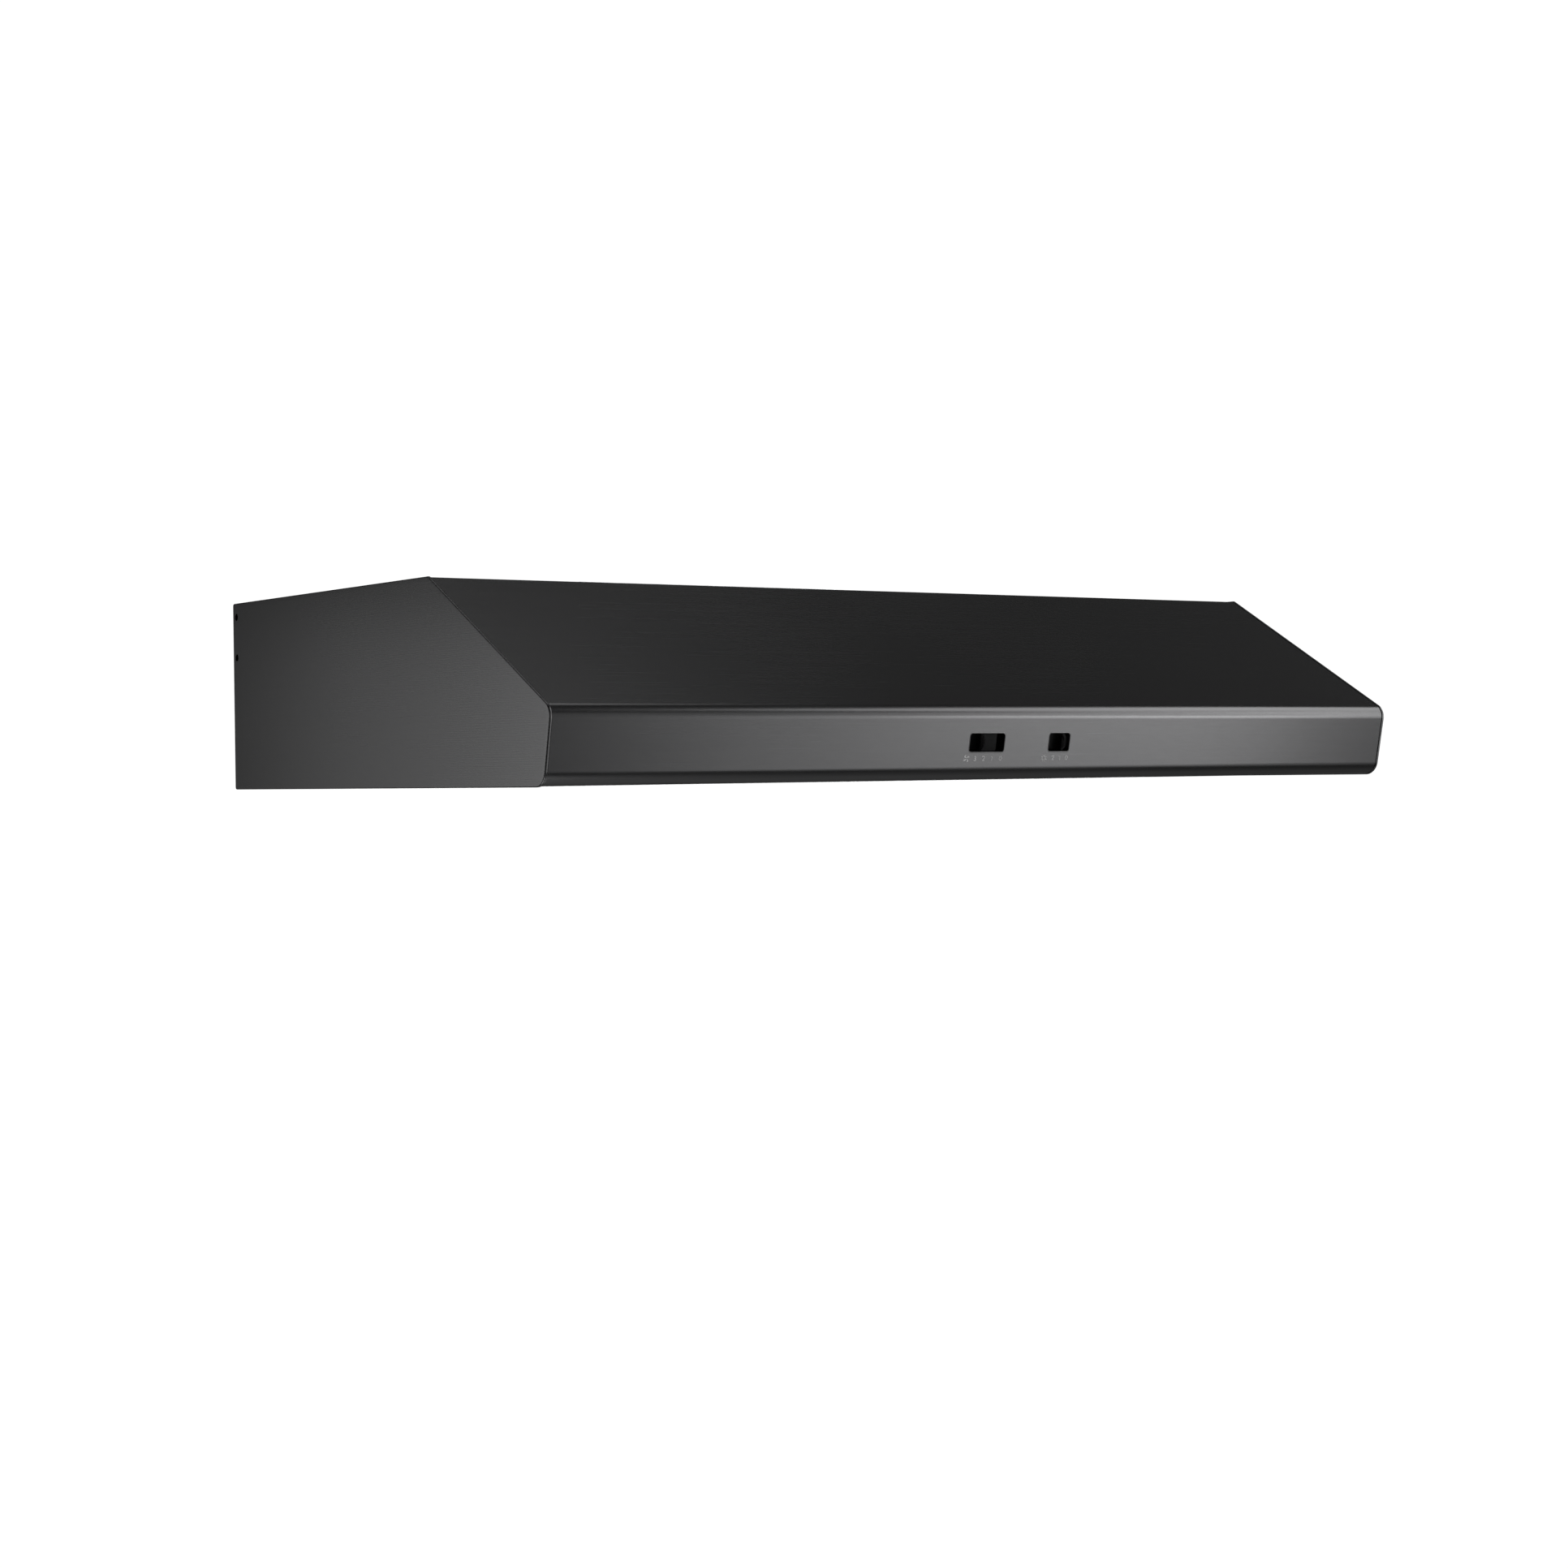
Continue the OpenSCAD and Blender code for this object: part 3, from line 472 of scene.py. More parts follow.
def end_panel(side):
    """Plate with a rounded folded rim, its flanges and, at the back, two screw holes."""
    def outline(d):
        pts = []
        for i, n in ((0, 5), (1, 5), (2, 8), (3, 24), (4, 24)):
            pts += arc(i, d, n)
        return [(min(y, 0.0), z) for y, z in pts]
    R0 = 0.75
    prof = []                                   # (x from the outside face, depth)
    prof.append((0.0, 3.4))
    for k in range(6):
        f = math.radians(90 * k / 5)
        prof.append((R0 - R0 * math.cos(f), -0.59 + R0 - R0 * math.sin(f)))
    prof.append((2.0 - 0.25, -0.59))
    prof.append((2.0, -0.35))
    prof.append((2.0, 0.2))
    prof.append((T, 0.2))
    prof.append((T, 3.4))
    verts, faces = [], []
    for x, d in prof:
        verts += [mm(side * (W2 - x), y, z) for y, z in outline(d)]
    n = len(outline(0))
    for i in range(len(prof) - 1):
        for k in range(n):
            k2 = (k + 1) % n
            faces.append((i * n + k, (i + 1) * n + k, (i + 1) * n + k2, i * n + k2))
    v0 = len(verts)
    for x in (0.0, T):                          # the plate's own large faces meet a flat margin first
        verts += [mm(side * (W2 - x), y, z) for y, z in outline(9.0)]
    last = (len(prof) - 1) * n
    for k in range(n):
        k2 = (k + 1) % n
        faces.append((k, k2, v0 + k2, v0 + k))
        faces.append((last + k, v0 + n + k, v0 + n + k2, last + k2))
    faces.append(tuple(range(v0, v0 + n)))
    faces.append(tuple(range(v0 + n, v0 + 2 * n))[::-1])
    ob = obj_from("end_plate", verts, faces, "side", smooth=50)
    cuts = []
    for z in (135.6, 103.6):
        cuts.append(prism_world("c", cylinder_pts(2.8), lambda a, b, z=z: mm(side * (W2 - 4), a - 6.5, b + z), lambda a, b, z=z: mm(side * (W2 + 2), a - 6.5, b + z), "side"))
    cut(ob, cuts)
    # flanges: thin strips behind the wrapper and along the open edges
    def strip(pts, x0, x1):
        k = len(pts)
        vs = [mm(side * x0, y, z) for y, z in pts] + [mm(side * x1, y, z) for y, z in pts]
        fs = [tuple(range(k)), tuple(range(k, 2 * k))[::-1]] + [(i, k + i, k + (i + 1) % k, (i + 1) % k) for i in range(k)]
        return vs, fs
    a = [p for p in arc(3, 1.3, 12) + arc(4, 1.3, 12)]
    b = [p for p in arc(3, 2.1, 12) + arc(4, 2.1, 12)]
    q = arc(2, 1.3, 4)[-1]
    q2 = arc(2, 2.1, 4)[-1]
    pts = [(q[0] - 6, q[1] - 6 * 0.561)] + a + [(-485.0, 1.3), (-485.0, 2.1)] + b[::-1] + [(q2[0] - 6, q2[1] - 6 * 0.561)]
    parts = [strip(pts, W2 - T - 13.6, W2 - T + 0.05)]
    parts.append(strip([(-327.9, H + 0.02), (-8.0, H + 0.02), (-8.0, H + 0.6), (-327.9, H + 0.6)], W2 - 2.0 - 12.4, W2 - 1.8))
    parts.append(strip([(-470.0, 0.0), (-22.0, 0.0), (-22.0, T), (-470.0, T)], W2 - T - 13.6, W2 - T + 0.05))
    parts.append(strip([(-3 * T, 3.0), (-2 * T, 3.0), (-2 * T, H - 6), (-3 * T, H - 6)], W2 - T - 13.6, W2 - T + 0.05))
    vs, fs = [], []
    for v_, f_ in parts:
        o_ = len(vs)
        vs += v_
        fs += [tuple(i + o_ for i in f) for f in f_]
    fl = obj_from("flanges", vs, fs, "side", smooth=50)
    bm = bmesh.new()
    bm.from_mesh(ob.data)
    bm.from_mesh(fl.data)
    bm.to_mesh(ob.data)
    bm.free()
    bpy.data.objects.remove(fl)
    finish_edges(ob, 0.00012, 1, 60)
    grain_uv(ob, "y")
    ob.name = "left_end_shell" if side < 0 else "right_end_shell"
    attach(ob, "hood")
    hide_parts("left_end_panel" if side < 0 else "right_end_panel")
    return ob


end_panel(-1)
end_panel(1)

# ---------------------------------------------------------------- printed marks beside the controls


class Pen:
    """Flat strokes of even width laid on the lip."""
    def __init__(self, name):
        self.name, self.v, self.f = name, [], []

    def line(self, pts, w, closed=False, n0=0.03, n1=0.06):
        k = len(pts)
        rows = []
        for i in range(k):
            a = Vector(pts[(i - 1) % k] if closed or i else pts[i])
            b = Vector(pts[(i + 1) % k] if closed or i < k - 1 else pts[i])
            t = (b - a).normalized()
            nrm = Vector((-t[1], t[0]))
            p = Vector(pts[i])
            rows.append([p + nrm * w / 2, p - nrm * w / 2])
        base = len(self.v)
        for l, r in rows:
            self.v += [lip(l[0], l[1], n1), lip(r[0], r[1], n1), lip(l[0], l[1], n0), lip(r[0], r[1], n0)]
        m = k if closed else k - 1
        for i in range(m):
            a, b = base + 4 * i, base + 4 * ((i + 1) % k)
            self.f += [(a, b, b + 1, a + 1), (a + 2, a + 3, b + 3, b + 2), (a, a + 2, b + 2, b), (a + 1, b + 1, b + 3, a + 3)]
        if not closed:
            a, b = base, base + 4 * (k - 1)
            self.f += [(a, a + 1, a + 3, a + 2), (b, b + 2, b + 3, b + 1)]

    def fill(self, pts, n0=0.03, n1=0.06):
        k, base = len(pts), len(self.v)
        self.v += [lip(p[0], p[1], n1) for p in pts] + [lip(p[0], p[1], n0) for p in pts]
        self.f += [tuple(range(base, base + k)), tuple(range(base + k, base + 2 * k))[::-1]]
        self.f += [(base + i, base + k + i, base + k + (i + 1) % k, base + (i + 1) % k) for i in range(k)]

    def done(self):
        ob = obj_from(self.name, self.v, self.f, "print", smooth=30)
        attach(ob, "hood")
        return ob


def arc2(cx, cy, rx, ry, a0, a1, n=14):
    return [(cx + rx * math.cos(math.radians(a0 + (a1 - a0) * i / n)), cy + ry * math.sin(math.radians(a0 + (a1 - a0) * i / n))) for i in range(n + 1)]


def digit(pen, ch, x, v, h=3.4, w=0.5):
    """A plain round-ended numeral with its centre at x, v."""
    s = h / 2
    if ch == "0":
        pen.line(arc2(x, v, 0.95, s - w / 2, 0, 360, 28)[:-1], w, closed=True)
    elif ch == "1":
        pen.line([(x - 0.75, v + s * 0.55), (x + 0.05, v + s), (x + 0.05, v - s)], w)
    elif ch == "2":
        top = arc2(x, v + s - 1.0, 0.95, 0.95, 165, -25, 14)
        pen.line(top + [(x - 1.0, v - s + w / 2), (x + 1.05, v - s + w / 2)], w)
    elif ch == "3":
        pen.line(arc2(x - 0.05, v + s * 0.5, 0.85, s * 0.5 - w * 0.35, 150, -90, 14), w)
        pen.line(arc2(x - 0.05, v - s * 0.5, 0.98, s * 0.5 - w * 0.2, 90, -150, 14), w)


pen = Pen("control_marks")
LV = -36.0
for ch, x in (("3", -27.9), ("2", -20.2), ("1", -12.6), ("0", -4.6), ("2", 44.0), ("1", 50.6), ("0", 57.0)):
    digit(pen, ch, x, LV)
# sun symbol
sx, sv = 35.7, LV
pen.line(arc2(sx, sv, 1.45, 1.45, 0, 360, 28)[:-1], 0.42, closed=True)
for k in range(8):
    a = math.radians(45 * k + 22.5)
    pen.line([(sx + 2.0 * math.cos(a), sv + 2.0 * math.sin(a)), (sx + 2.75 * math.cos(a), sv + 2.75 * math.sin(a))], 0.4)
# fan symbol: four solid pinwheel vanes
fx, fv = -35.6, LV + 0.1
for k in range(4):
    a = math.radians(90 * k + 12)
    vane = [(fx + px * math.cos(a) - py * math.sin(a), fv + px * math.sin(a) + py * math.cos(a))
            for px, py in ((0.15, 0.25), (0.75, 1.0), (1.45, 1.5), (2.2, 1.5), (2.7, 0.95), (2.75, 0.25), (2.45, -0.2), (2.05, 0.3), (1.45, 0.45), (0.8, 0.2))]
    pen.fill(vane)
pen.done()

# ---------------------------------------------------------------- rims round the two cut-outs


def sweep_closed(path, section):
    """Closed ring mesh: section points placed at every point of a closed path by path(k, s)."""
    verts, faces = [], []
    n, m = len(path), len(section)
    for p in path:
        verts += [p(*s) for s in section]
    for i in range(n):
        j = (i + 1) % n
        for k in range(m):
            l = (k + 1) % m
            faces.append((i * m + k, j * m + k, j * m + l, i * m + l))
    return verts, faces


def cutout_rim(name, cx, w, h):
    base = rr_pts(w, h, 2.0, 10)
    n = len(base)
    path = []
    for i in range(n):
        a, b = base[i - 1], base[(i + 1) % n]
        t = unit((b[0] - a[0], b[1] - a[1]))
        o = (t[1], -t[0])
        path.append(lambda e, z, p=base[i], o=o: lip(cx + p[0] + o[0] * e, -24.5 + p[1] + o[1] * e, z))
    sec = [(0.62, 0.01), (0.5, 0.07), (0.3, 0.11), (0.1, 0.09), (-0.04, 0.0), (-0.1, -0.18), (-0.1, -0.8), (0.0, -0.8), (0.02, -0.05), (0.3, 0.0)]
    v, f = sweep_closed(path, sec)
    ob = obj_from(name, v, f, "rim", smooth=40)
    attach(ob, "hood")
    return ob


cutout_rim("fan_rim", -18.2, 31.5, 13.6)
cutout_rim("light_rim", 48.5, 19.3, 13.6)

# ---------------------------------------------------------------- slide knobs and their recesses


def layered(name, rings, mat, smooth=40):
    """Closed solid from a stack of equal-length outlines [(x, v), ...] with their heights n, on the lip frame."""
    verts, faces = [], []
    m = len(rings[0][0])
    for pts, n in rings:
        verts += [lip(p[0], p[1], n if not callable(n) else n(p)) for p in pts]
    for i in range(len(rings) - 1):
        for k in range(m):
            l = (k + 1) % m
            faces.append((i * m + k, i * m + l, (i + 1) * m + l, (i + 1) * m + k))
    faces.append(tuple(range(m))[::-1])
    last = (len(rings) - 1) * m
    faces.append(tuple(last + k for k in range(m)))
    return obj_from(name, verts, faces, mat, smooth)


def inset_poly(pts, d):
    """Move every point of an outline inwards by d along its own normal."""
    n = len(pts)
    area = sum(pts[i][0] * pts[(i + 1) % n][1] - pts[(i + 1) % n][0] * pts[i][1] for i in range(n))
    s = 1 if area > 0 else -1
    out = []
    for i in range(n):
        a, b = pts[i - 1], pts[(i + 1) % n]
        t = unit((b[0] - a[0], b[1] - a[1]))
        out.append((pts[i][0] - t[1] * d * s, pts[i][1] + t[0] * d * s))
    return out


def soft_top(pts, n0, n1, r, steps=5):
    """Outline stack that ends in a rounded top edge of radius r."""
    rings = [(pts, n0), (pts, n1 - r)]
    for k in range(1, steps + 1):
        a = math.radians(90 * k / steps)
        rings.append((inset_poly(pts, r * (1 - math.cos(a))), n1 - r + r * math.sin(a)))
    return rings


def knob(name, body, node, plate, raised, extra=None):
    # base plate in the darker copy of the knob plastic, which paints the recess shade; the finger bars below use the
    # plain knob plastic
    base = layered(name, soft_top(plate, -9.35, -7.6, 0.5), "knob_painted_shade")
    parts = [base]
    for pts, n0, n1, r in raised:
        parts.append(layered(name + "_bar", soft_top(pts, n0, n1, r), "knob"))
    bm = bmesh.new()
    mats = []
    for i, p in enumerate(parts):
        mm_ = p.data.materials[0]
        if mm_ not in mats:
            mats.append(mm_)
        k0 = len(bm.faces)
        bm.from_mesh(p.data)
        bm.faces.ensure_lookup_table()
        for f in bm.faces[k0:]:
            f.material_index = mats.index(mm_)
    bm.to_mesh(base.data)
    bm.free()
    base.data.materials.clear()
    for m_ in mats:
        base.data.materials.append(m_)
    for p in parts[1:]:
        bpy.data.objects.remove(p)
    base.data.polygons.foreach_set("use_smooth", [True] * len(base.data.polygons))
    base.data.set_sharp_from_angle(angle=math.radians(40))
    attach(base, body)
    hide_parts(node)
    return base


CV = -24.5
plate = [(x - 20.4, v + CV) for x, v in rr_pts(25.2, 13.6, 1.0, 6)]
# finger bar: straight on the right, hollowed by the round dish on the left
bar = []
for k in range(25):                              # dish wall, from top to bottom, bulging right
    a = math.radians(66 - 132 * k / 24)
    bar.append((-26.4 + 7.0 * math.cos(a), CV + 7.0 * math.sin(a)))
bar += [(-23.2, CV - 6.75), (-20.0, CV - 6.78), (-12.0, CV - 6.78)]
bar += [(-8.9 + 0.9 * math.cos(math.radians(t_)), CV - 5.88 + 0.9 * math.sin(math.radians(t_))) for t_ in (-90, -60, -30, 0)]
bar += [(-8.0, CV), (-8.0, CV + 4.0)]
bar += [(-8.9 + 0.9 * math.cos(math.radians(t_)), CV + 5.88 + 0.9 * math.sin(math.radians(t_))) for t_ in (0, 30, 60, 90)]
bar += [(-12.0, CV + 6.78), (-20.0, CV + 6.78), (-23.2, CV + 6.75)]
knob("fan_knob_moulding", "fan_knob", "fan_slider", plate, [(bar, -8.2, -2.05, 0.7)])

plate = [(x + 48.4, v + CV) for x, v in rr_pts(19.0, 13.6, 1.0, 6)]
cres = []
for k in range(31):                              # outer arc of the crescent, bottom to top
    a = math.radians(-62 + 124 * k / 30)
    cres.append((50.0 + 7.5 * math.cos(a), CV + 6.7 / 6.62 * 7.5 * math.sin(a) * 0.995))
for k in range(31):                              # inner arc, top to bottom
    a = math.radians(56 - 112 * k / 30)
    cres.append((48.35 + 6.55 * math.cos(a), CV + 6.55 * math.sin(a)))
cres = [(x, max(CV - 6.75, min(CV + 6.75, v))) for x, v in cres]
knob("light_knob_moulding", "light_knob", "light_slider", plate, [(cres, -8.2, -2.05, 0.35)])

# ---------------------------------------------------------------- grease filters


def join(objs, name, remove=True):
    """One mesh from several, keeping each one's material."""
    bm = bmesh.new()
    mats = []
    for o in objs:
        m_ = o.data.materials[0]
        if m_ not in mats:
            mats.append(m_)
        k0 = len(bm.faces)
        bm.from_mesh(o.data)
        bm.faces.ensure_lookup_table()
        for f in bm.faces[k0:]:
            f.material_index = mats.index(m_)
    me = bpy.data.meshes.new(name)
    bm.to_mesh(me)
    bm.free()
    for m_ in mats:
        me.materials.append(m_)
    ob = bpy.data.objects.new(name, me)
    scene.collection.objects.link(ob)
    if remove:
        for o in objs:
            bpy.data.objects.remove(o)
    return ob


def tube(name, pts, r, mat, sides=16, sub=6, braid=0.0):
    """Round tube along a smooth line through the points (metres)."""
    P = [Vector(p) for p in pts]
    line = []
    for i in range(len(P) - 1):
        p0, p1, p2, p3 = P[max(i - 1, 0)], P[i], P[i + 1], P[min(i + 2, len(P) - 1)]
        seg = (p2 - p1).length
        n = max(2, int(seg / (r * 1.2))) if sub == 0 else sub
        for k in range(n):
            t = k / n
            # centripetal-like: limit tangents to the neighbouring spans
            m1 = (p2 - p0) * 0.5
            m2 = (p3 - p1) * 0.5
            if m1.length > seg:
                m1 = m1.normalized() * seg
            if m2.length > seg:
                m2 = m2.normalized() * seg
            t2, t3 = t * t, t * t * t
            line.append((2 * t3 - 3 * t2 + 1) * p1 + (t3 - 2 * t2 + t) * m1 + (-2 * t3 + 3 * t2) * p2 + (t3 - t2) * m2)
    line.append(P[-1])
    verts, faces = [], []
    nrm = None
    for i, p in enumerate(line):
        t = (line[min(i + 1, len(line) - 1)] - line[max(i - 1, 0)]).normalized()
        if nrm is None:
            nrm = t.orthogonal().normalized()
        nrm = (nrm - t * nrm.dot(t)).normalized()
        b = t.cross(nrm)
        for k in range(sides):
            a = 2 * math.pi * k / sides
            rr = r * (1 - braid * ((i + k) % 2))
            verts.append(p + nrm * (rr * math.cos(a)) + b * (rr * math.sin(a)))
    for i in range(len(line) - 1):
        for k in range(sides):
            l = (k + 1) % sides
            faces.append((i * sides + k, i * sides + l, (i + 1) * sides + l, (i + 1) * sides + k))
    faces.append(tuple(range(sides))[::-1])
    faces.append(tuple((len(line) - 1) * sides + k for k in range(sides)))
    return obj_from(name, verts, faces, mat, smooth=60)


def lathe(name, prof, centre, axis, mat, n=48, smooth=40):
    """Closed body of revolution: prof is [(r, h), ...] from axis to axis, h along the axis (mm)."""
    ax = Vector(axis).normalized()
    u = ax.orthogonal().normalized()
    w = ax.cross(u)
    verts, faces, rows = [], [], []
    for r, h in prof:
        c = Vector(centre) + ax * h / 1000
        if r < 1e-6:
            rows.append([len(verts)])
            verts.append(c)
        else:
            rows.append(list(range(len(verts), len(verts) + n)))
            verts += [c + (u * math.cos(2 * math.pi * k / n) + w * math.sin(2 * math.pi * k / n)) * r / 1000 for k in range(n)]
    for a, b in zip(rows, rows[1:]):
        for k in range(n):
            l = (k + 1) % n
            if len(a) == 1 and len(b) == 1:
                continue
            if len(a) == 1:
                faces.append((a[0], b[k], b[l]))
            elif len(b) == 1:
                faces.append((a[k], a[l], b[0]))
            else:
                faces.append((a[k], a[l], b[l], b[k]))
    if len(rows[0]) > 1 and len(rows[-1]) > 1:
        for k in range(n):
            l = (k + 1) % n
            faces.append((rows[-1][k], rows[-1][l], rows[0][l], rows[0][k]))
    return obj_from(name, verts, faces, mat, smooth)


def extrude_x(name, pts, x0, x1, mat, smooth=40):
    """A closed [y, z] outline run from x0 to x1 (mm)."""
    n = len(pts)
    verts = [mm(x0, y, z) for y, z in pts] + [mm(x1, y, z) for y, z in pts]
    faces = [tuple(range(n)), tuple(range(n, 2 * n))[::-1]] + [(i, n + i, n + (i + 1) % n, (i + 1) % n) for i in range(n)]
    return obj_from(name, verts, faces, mat, smooth)


def strip_path(line, t):
    """Outline of a strip of thickness t along a [y, z] line, on its left side."""
    out = []
    n = len(line)
    for i in range(n):
        a, b = line[max(i - 1, 0)], line[min(i + 1, n - 1)]
        d = unit((b[0] - a[0], b[1] - a[1]))
        out.append((line[i][0] - d[1] * t, line[i][1] + d[0] * t))
    return list(line) + out[::-1]


def filter_unit(side):
    cx = side * 177.5
    X0, X1, Y0, Y1, Z0, Z1 = cx - 173.5, cx + 173.5, -420.0, -168.0, 3.0, 12.5
    g = 0.6
    r = 1.3
    sec = [(9.0, Z0), (8.4, Z0)]
    sec = [(9.0, Z0)]
    for k in range(5):
        a = math.radians(90 * k / 4)
        sec.append((r - r * math.sin(a), Z0 + r - r * math.cos(a)))
    for k in range(5):
        a = math.radians(90 * k / 4)
        sec.append((r - r * math.cos(a), Z1 - r + r * math.sin(a)))
    sec += [(9.0, Z1), (9.0, Z1 - g)]
    for k in range(4):
        a = math.radians(90 * k / 3)
        sec.append((r - (r - g) * math.sin(a), Z1 - r + (r - g) * math.cos(a)))
    for k in range(4):
        a = math.radians(90 * k / 3)
        sec.append((r - (r - g) * math.cos(a), Z0 + r - (r - g) * math.sin(a)))
    sec += [(9.0, Z0 + g)]
    gap = 0.14
    rails = []
    corners_ = [(X0, Y0), (X1, Y0), (X1, Y1), (X0, Y1)]
    for q in range(4):
        a, b = corners_[q], corners_[(q + 1) % 4]
        d = unit((b[0] - a[0], b[1] - a[1]))
        o = (-d[1], d[0])                        # inwards, walking anticlockwise
        verts = []
        for p, s in ((a, 1), (b, -1)):
            for e, z in sec:
                verts.append(mm(p[0] + o[0] * e + d[0] * s * (e + gap), p[1] + o[1] * e + d[1] * s * (e + gap), z))
        m = len(sec)
        faces = [tuple(range(m)), tuple(range(m, 2 * m))[::-1]] + [(i, m + i, m + (i + 1) % m, (i + 1) % m) for i in range(m)]
        rails.append(obj_from("rail", verts, faces, "frame", smooth=50))
    # corner rivets
    for px, py in ((X0 + 4.6, Y0 + 4.6), (X1 - 4.6, Y0 + 4.6), (X1 - 4.6, Y1 - 4.6), (X0 + 4.6, Y1 - 4.6)):
        rails.append(lathe("rivet", [(0, 0.5), (1.9, 0.5), (1.9, 0.28), (1.6, 0.08), (0.9, -0.05), (0, -0.1)], mm(px, py, Z0 + 0.1), (0, 0, 1), "frame", 20))
    # rear hooks with a rolled bead on the tilt line
    for k in (-100, 100):
        line = [(-168.4, 4.5)]
        tab = [(-168.3, 4.0), (-164.0, 4.0)]
        for s in range(13):
            a = math.radians(-125 + 305 * s / 12)
            tab.append((-162.0 + 1.1 * math.cos(a + math.pi / 2 - math.pi / 2), 4.5 + 1.1 * math.sin(a)))
        hook = [(-168.3, 4.0), (-163.0, 4.0)] + [(-162.0 + 1.1 * math.cos(math.radians(t_)), 4.5 + 1.1 * math.sin(math.radians(t_))) for t_ in range(-150, -20, 15)]
        hook += [(-160.6, 4.05), (-157.0, 4.05), (-156.6, 4.3), (-156.6, 4.7), (-157.0, 4.95), (-160.6, 4.95)]
        hook += [(-162.0 + 1.1 * math.cos(math.radians(t_)), 4.5 + 1.1 * math.sin(math.radians(t_))) for t_ in range(25, 156, 15)]
        hook += [(-163.0, 5.0), (-168.3, 5.0)]
        rails.append(extrude_x("hook", hook, cx + k - 10, cx + k + 10, "frame", 50))
    fr = join(rails, "left_filter_channel" if side < 0 else "right_filter_channel")
    finish_edges(fr, 0.00012, 1, 55, weighted=False)
    body = "left_filter" if side < 0 else "right_filter"
    nm = "left" if side < 0 else "right"
    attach(fr, body)
    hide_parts(nm + "_filter_frame")

    # expanded layers: zigzag strands joined at their turns
    def layer(z, L, p, w, t, tilt, xa, xb, ya, yb, phase=0.0):
        verts, faces = [], []
        rows = int((yb - ya) / p)
        per = int((xb - xa) / L)
        step = (xb - xa) / per
        ct, st = math.cos(tilt), math.sin(tilt)
        for j in range(rows):
            yc_ = ya + (j + 0.5) * (yb - ya) / rows
            sg = 1 if j % 2 == 0 else -1
            base = None
            pts = []
            for i in range(per + 1):
                x = xa + i * step
                for dx, s in ((-0.09, 1), (0.09, 1), (0.41, -1), (0.59, -1)):
                    xx = x + dx * step
                    if xx < xa - 1e-6 or xx > xb + 1e-6:
                        continue
                    pts.append((xx, yc_ + sg * s * (p / 2 - w * 0.22)))
            b0 = len(verts)
            for (xx, yy) in pts:
                for a_, b_ in ((-w / 2, -t / 2), (w / 2, -t / 2), (w / 2, t / 2), (-w / 2, t / 2)):
                    verts.append(mm(xx, yy + a_ * ct - b_ * st, z + a_ * st + b_ * ct))
            for i in range(len(pts) - 1):
                for k in range(4):
                    l = (k + 1) % 4
                    faces.append((b0 + 4 * i + k, b0 + 4 * i + l, b0 + 4 * i + 4 + l, b0 + 4 * i + 4 + k))
            faces.append((b0, b0 + 3, b0 + 2, b0 + 1))
            e = b0 + 4 * (len(pts) - 1)
            faces.append((e, e + 1, e + 2, e + 3))
        me = bpy.data.meshes.new("layer")
        me.from_pydata([tuple(v) for v in verts], [], faces)
        ob = bpy.data.objects.new("layer", me)
        scene.collection.objects.link(ob)
        me.materials.append(M["mesh"])
        return ob
    xa, xb, ya, yb = X0 + 1.2, X1 - 1.2, Y0 + 1.2, Y1 - 1.2
    ls = [layer(4.35, 11.0, 3.6, 1.0, 0.34, math.radians(32), xa, xb, ya, yb),
          layer(11.1, 16.0, 5.2, 1.3, 0.36, math.radians(-30), xa, xb, ya, yb)]
    # crimped core behind them
    nx, ny = 96, 70
    verts, faces = [], []
    for lev in (0, 1):
        for j in range(ny + 1):
            for i in range(nx + 1):
                x = xa + (xb - xa) * i / nx
                y = ya + (yb - ya) * j / ny
                z = 7.6 + 0.9 * math.sin(x * 0.62 + 1.1 * math.sin(y * 0.21)) + 0.55 * math.sin(y * 0.83 + 0.9 * math.sin(x * 0.17)) + lev * 0.35
                verts.append(mm(x, y, z))
    m1 = (nx + 1) * (ny + 1)
    for j in range(ny):
        for i in range(nx):
            a = j * (nx + 1) + i
            faces.append((a, a + nx + 1, a + nx + 2, a + 1))
            faces.append((m1 + a, m1 + a + 1, m1 + a + nx + 2, m1 + a + nx + 1))
    for i in range(nx):
        faces.append((i, i + 1, m1 + i + 1, m1 + i))
        a = ny * (nx + 1) + i
        faces.append((a, m1 + a, m1 + a + 1, a + 1))
    for j in range(ny):
        a = j * (nx + 1)
        faces.append((a, m1 + a, m1 + a + nx + 1, a + nx + 1))
        a = j * (nx + 1) + nx
        faces.append((a, a + nx + 1, m1 + a + nx + 1, m1 + a))
    core = obj_from("core", verts, faces, "mesh_core", smooth=70)
    mesh = join(ls + [core], nm + "_filter_layers")
    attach(mesh, body)
    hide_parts(nm + "_filter_mesh")

    # pull tab: pressed strip with a curled finger edge
    line = [(-419.8, 2.95), (-408.6, 2.95)]
    for k in range(11):
        a = math.radians(90 - 250 * k / 10)
        line.append((-406.9 + 0.0 + 1.0 * math.cos(a) * 1.0, 1.75 + 1.0 * math.sin(a) * 1.1))
    line = [(-419.8, 2.95), (-409.5, 2.95), (-408.0, 2.85), (-406.9, 2.5), (-406.1, 1.9), (-405.9, 1.2), (-406.3, 0.75), (-407.0, 0.6)]
    tab = extrude_x("tab", strip_path(line, -0.55), cx - 13.9, cx + 13.9, "spring", 60)
    finish_edges(tab, 0.0001, 2, 50, weighted=False)
    tab.name = nm + "_pull_tab"
    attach(tab, body)
    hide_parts(nm + "_filter_pull")

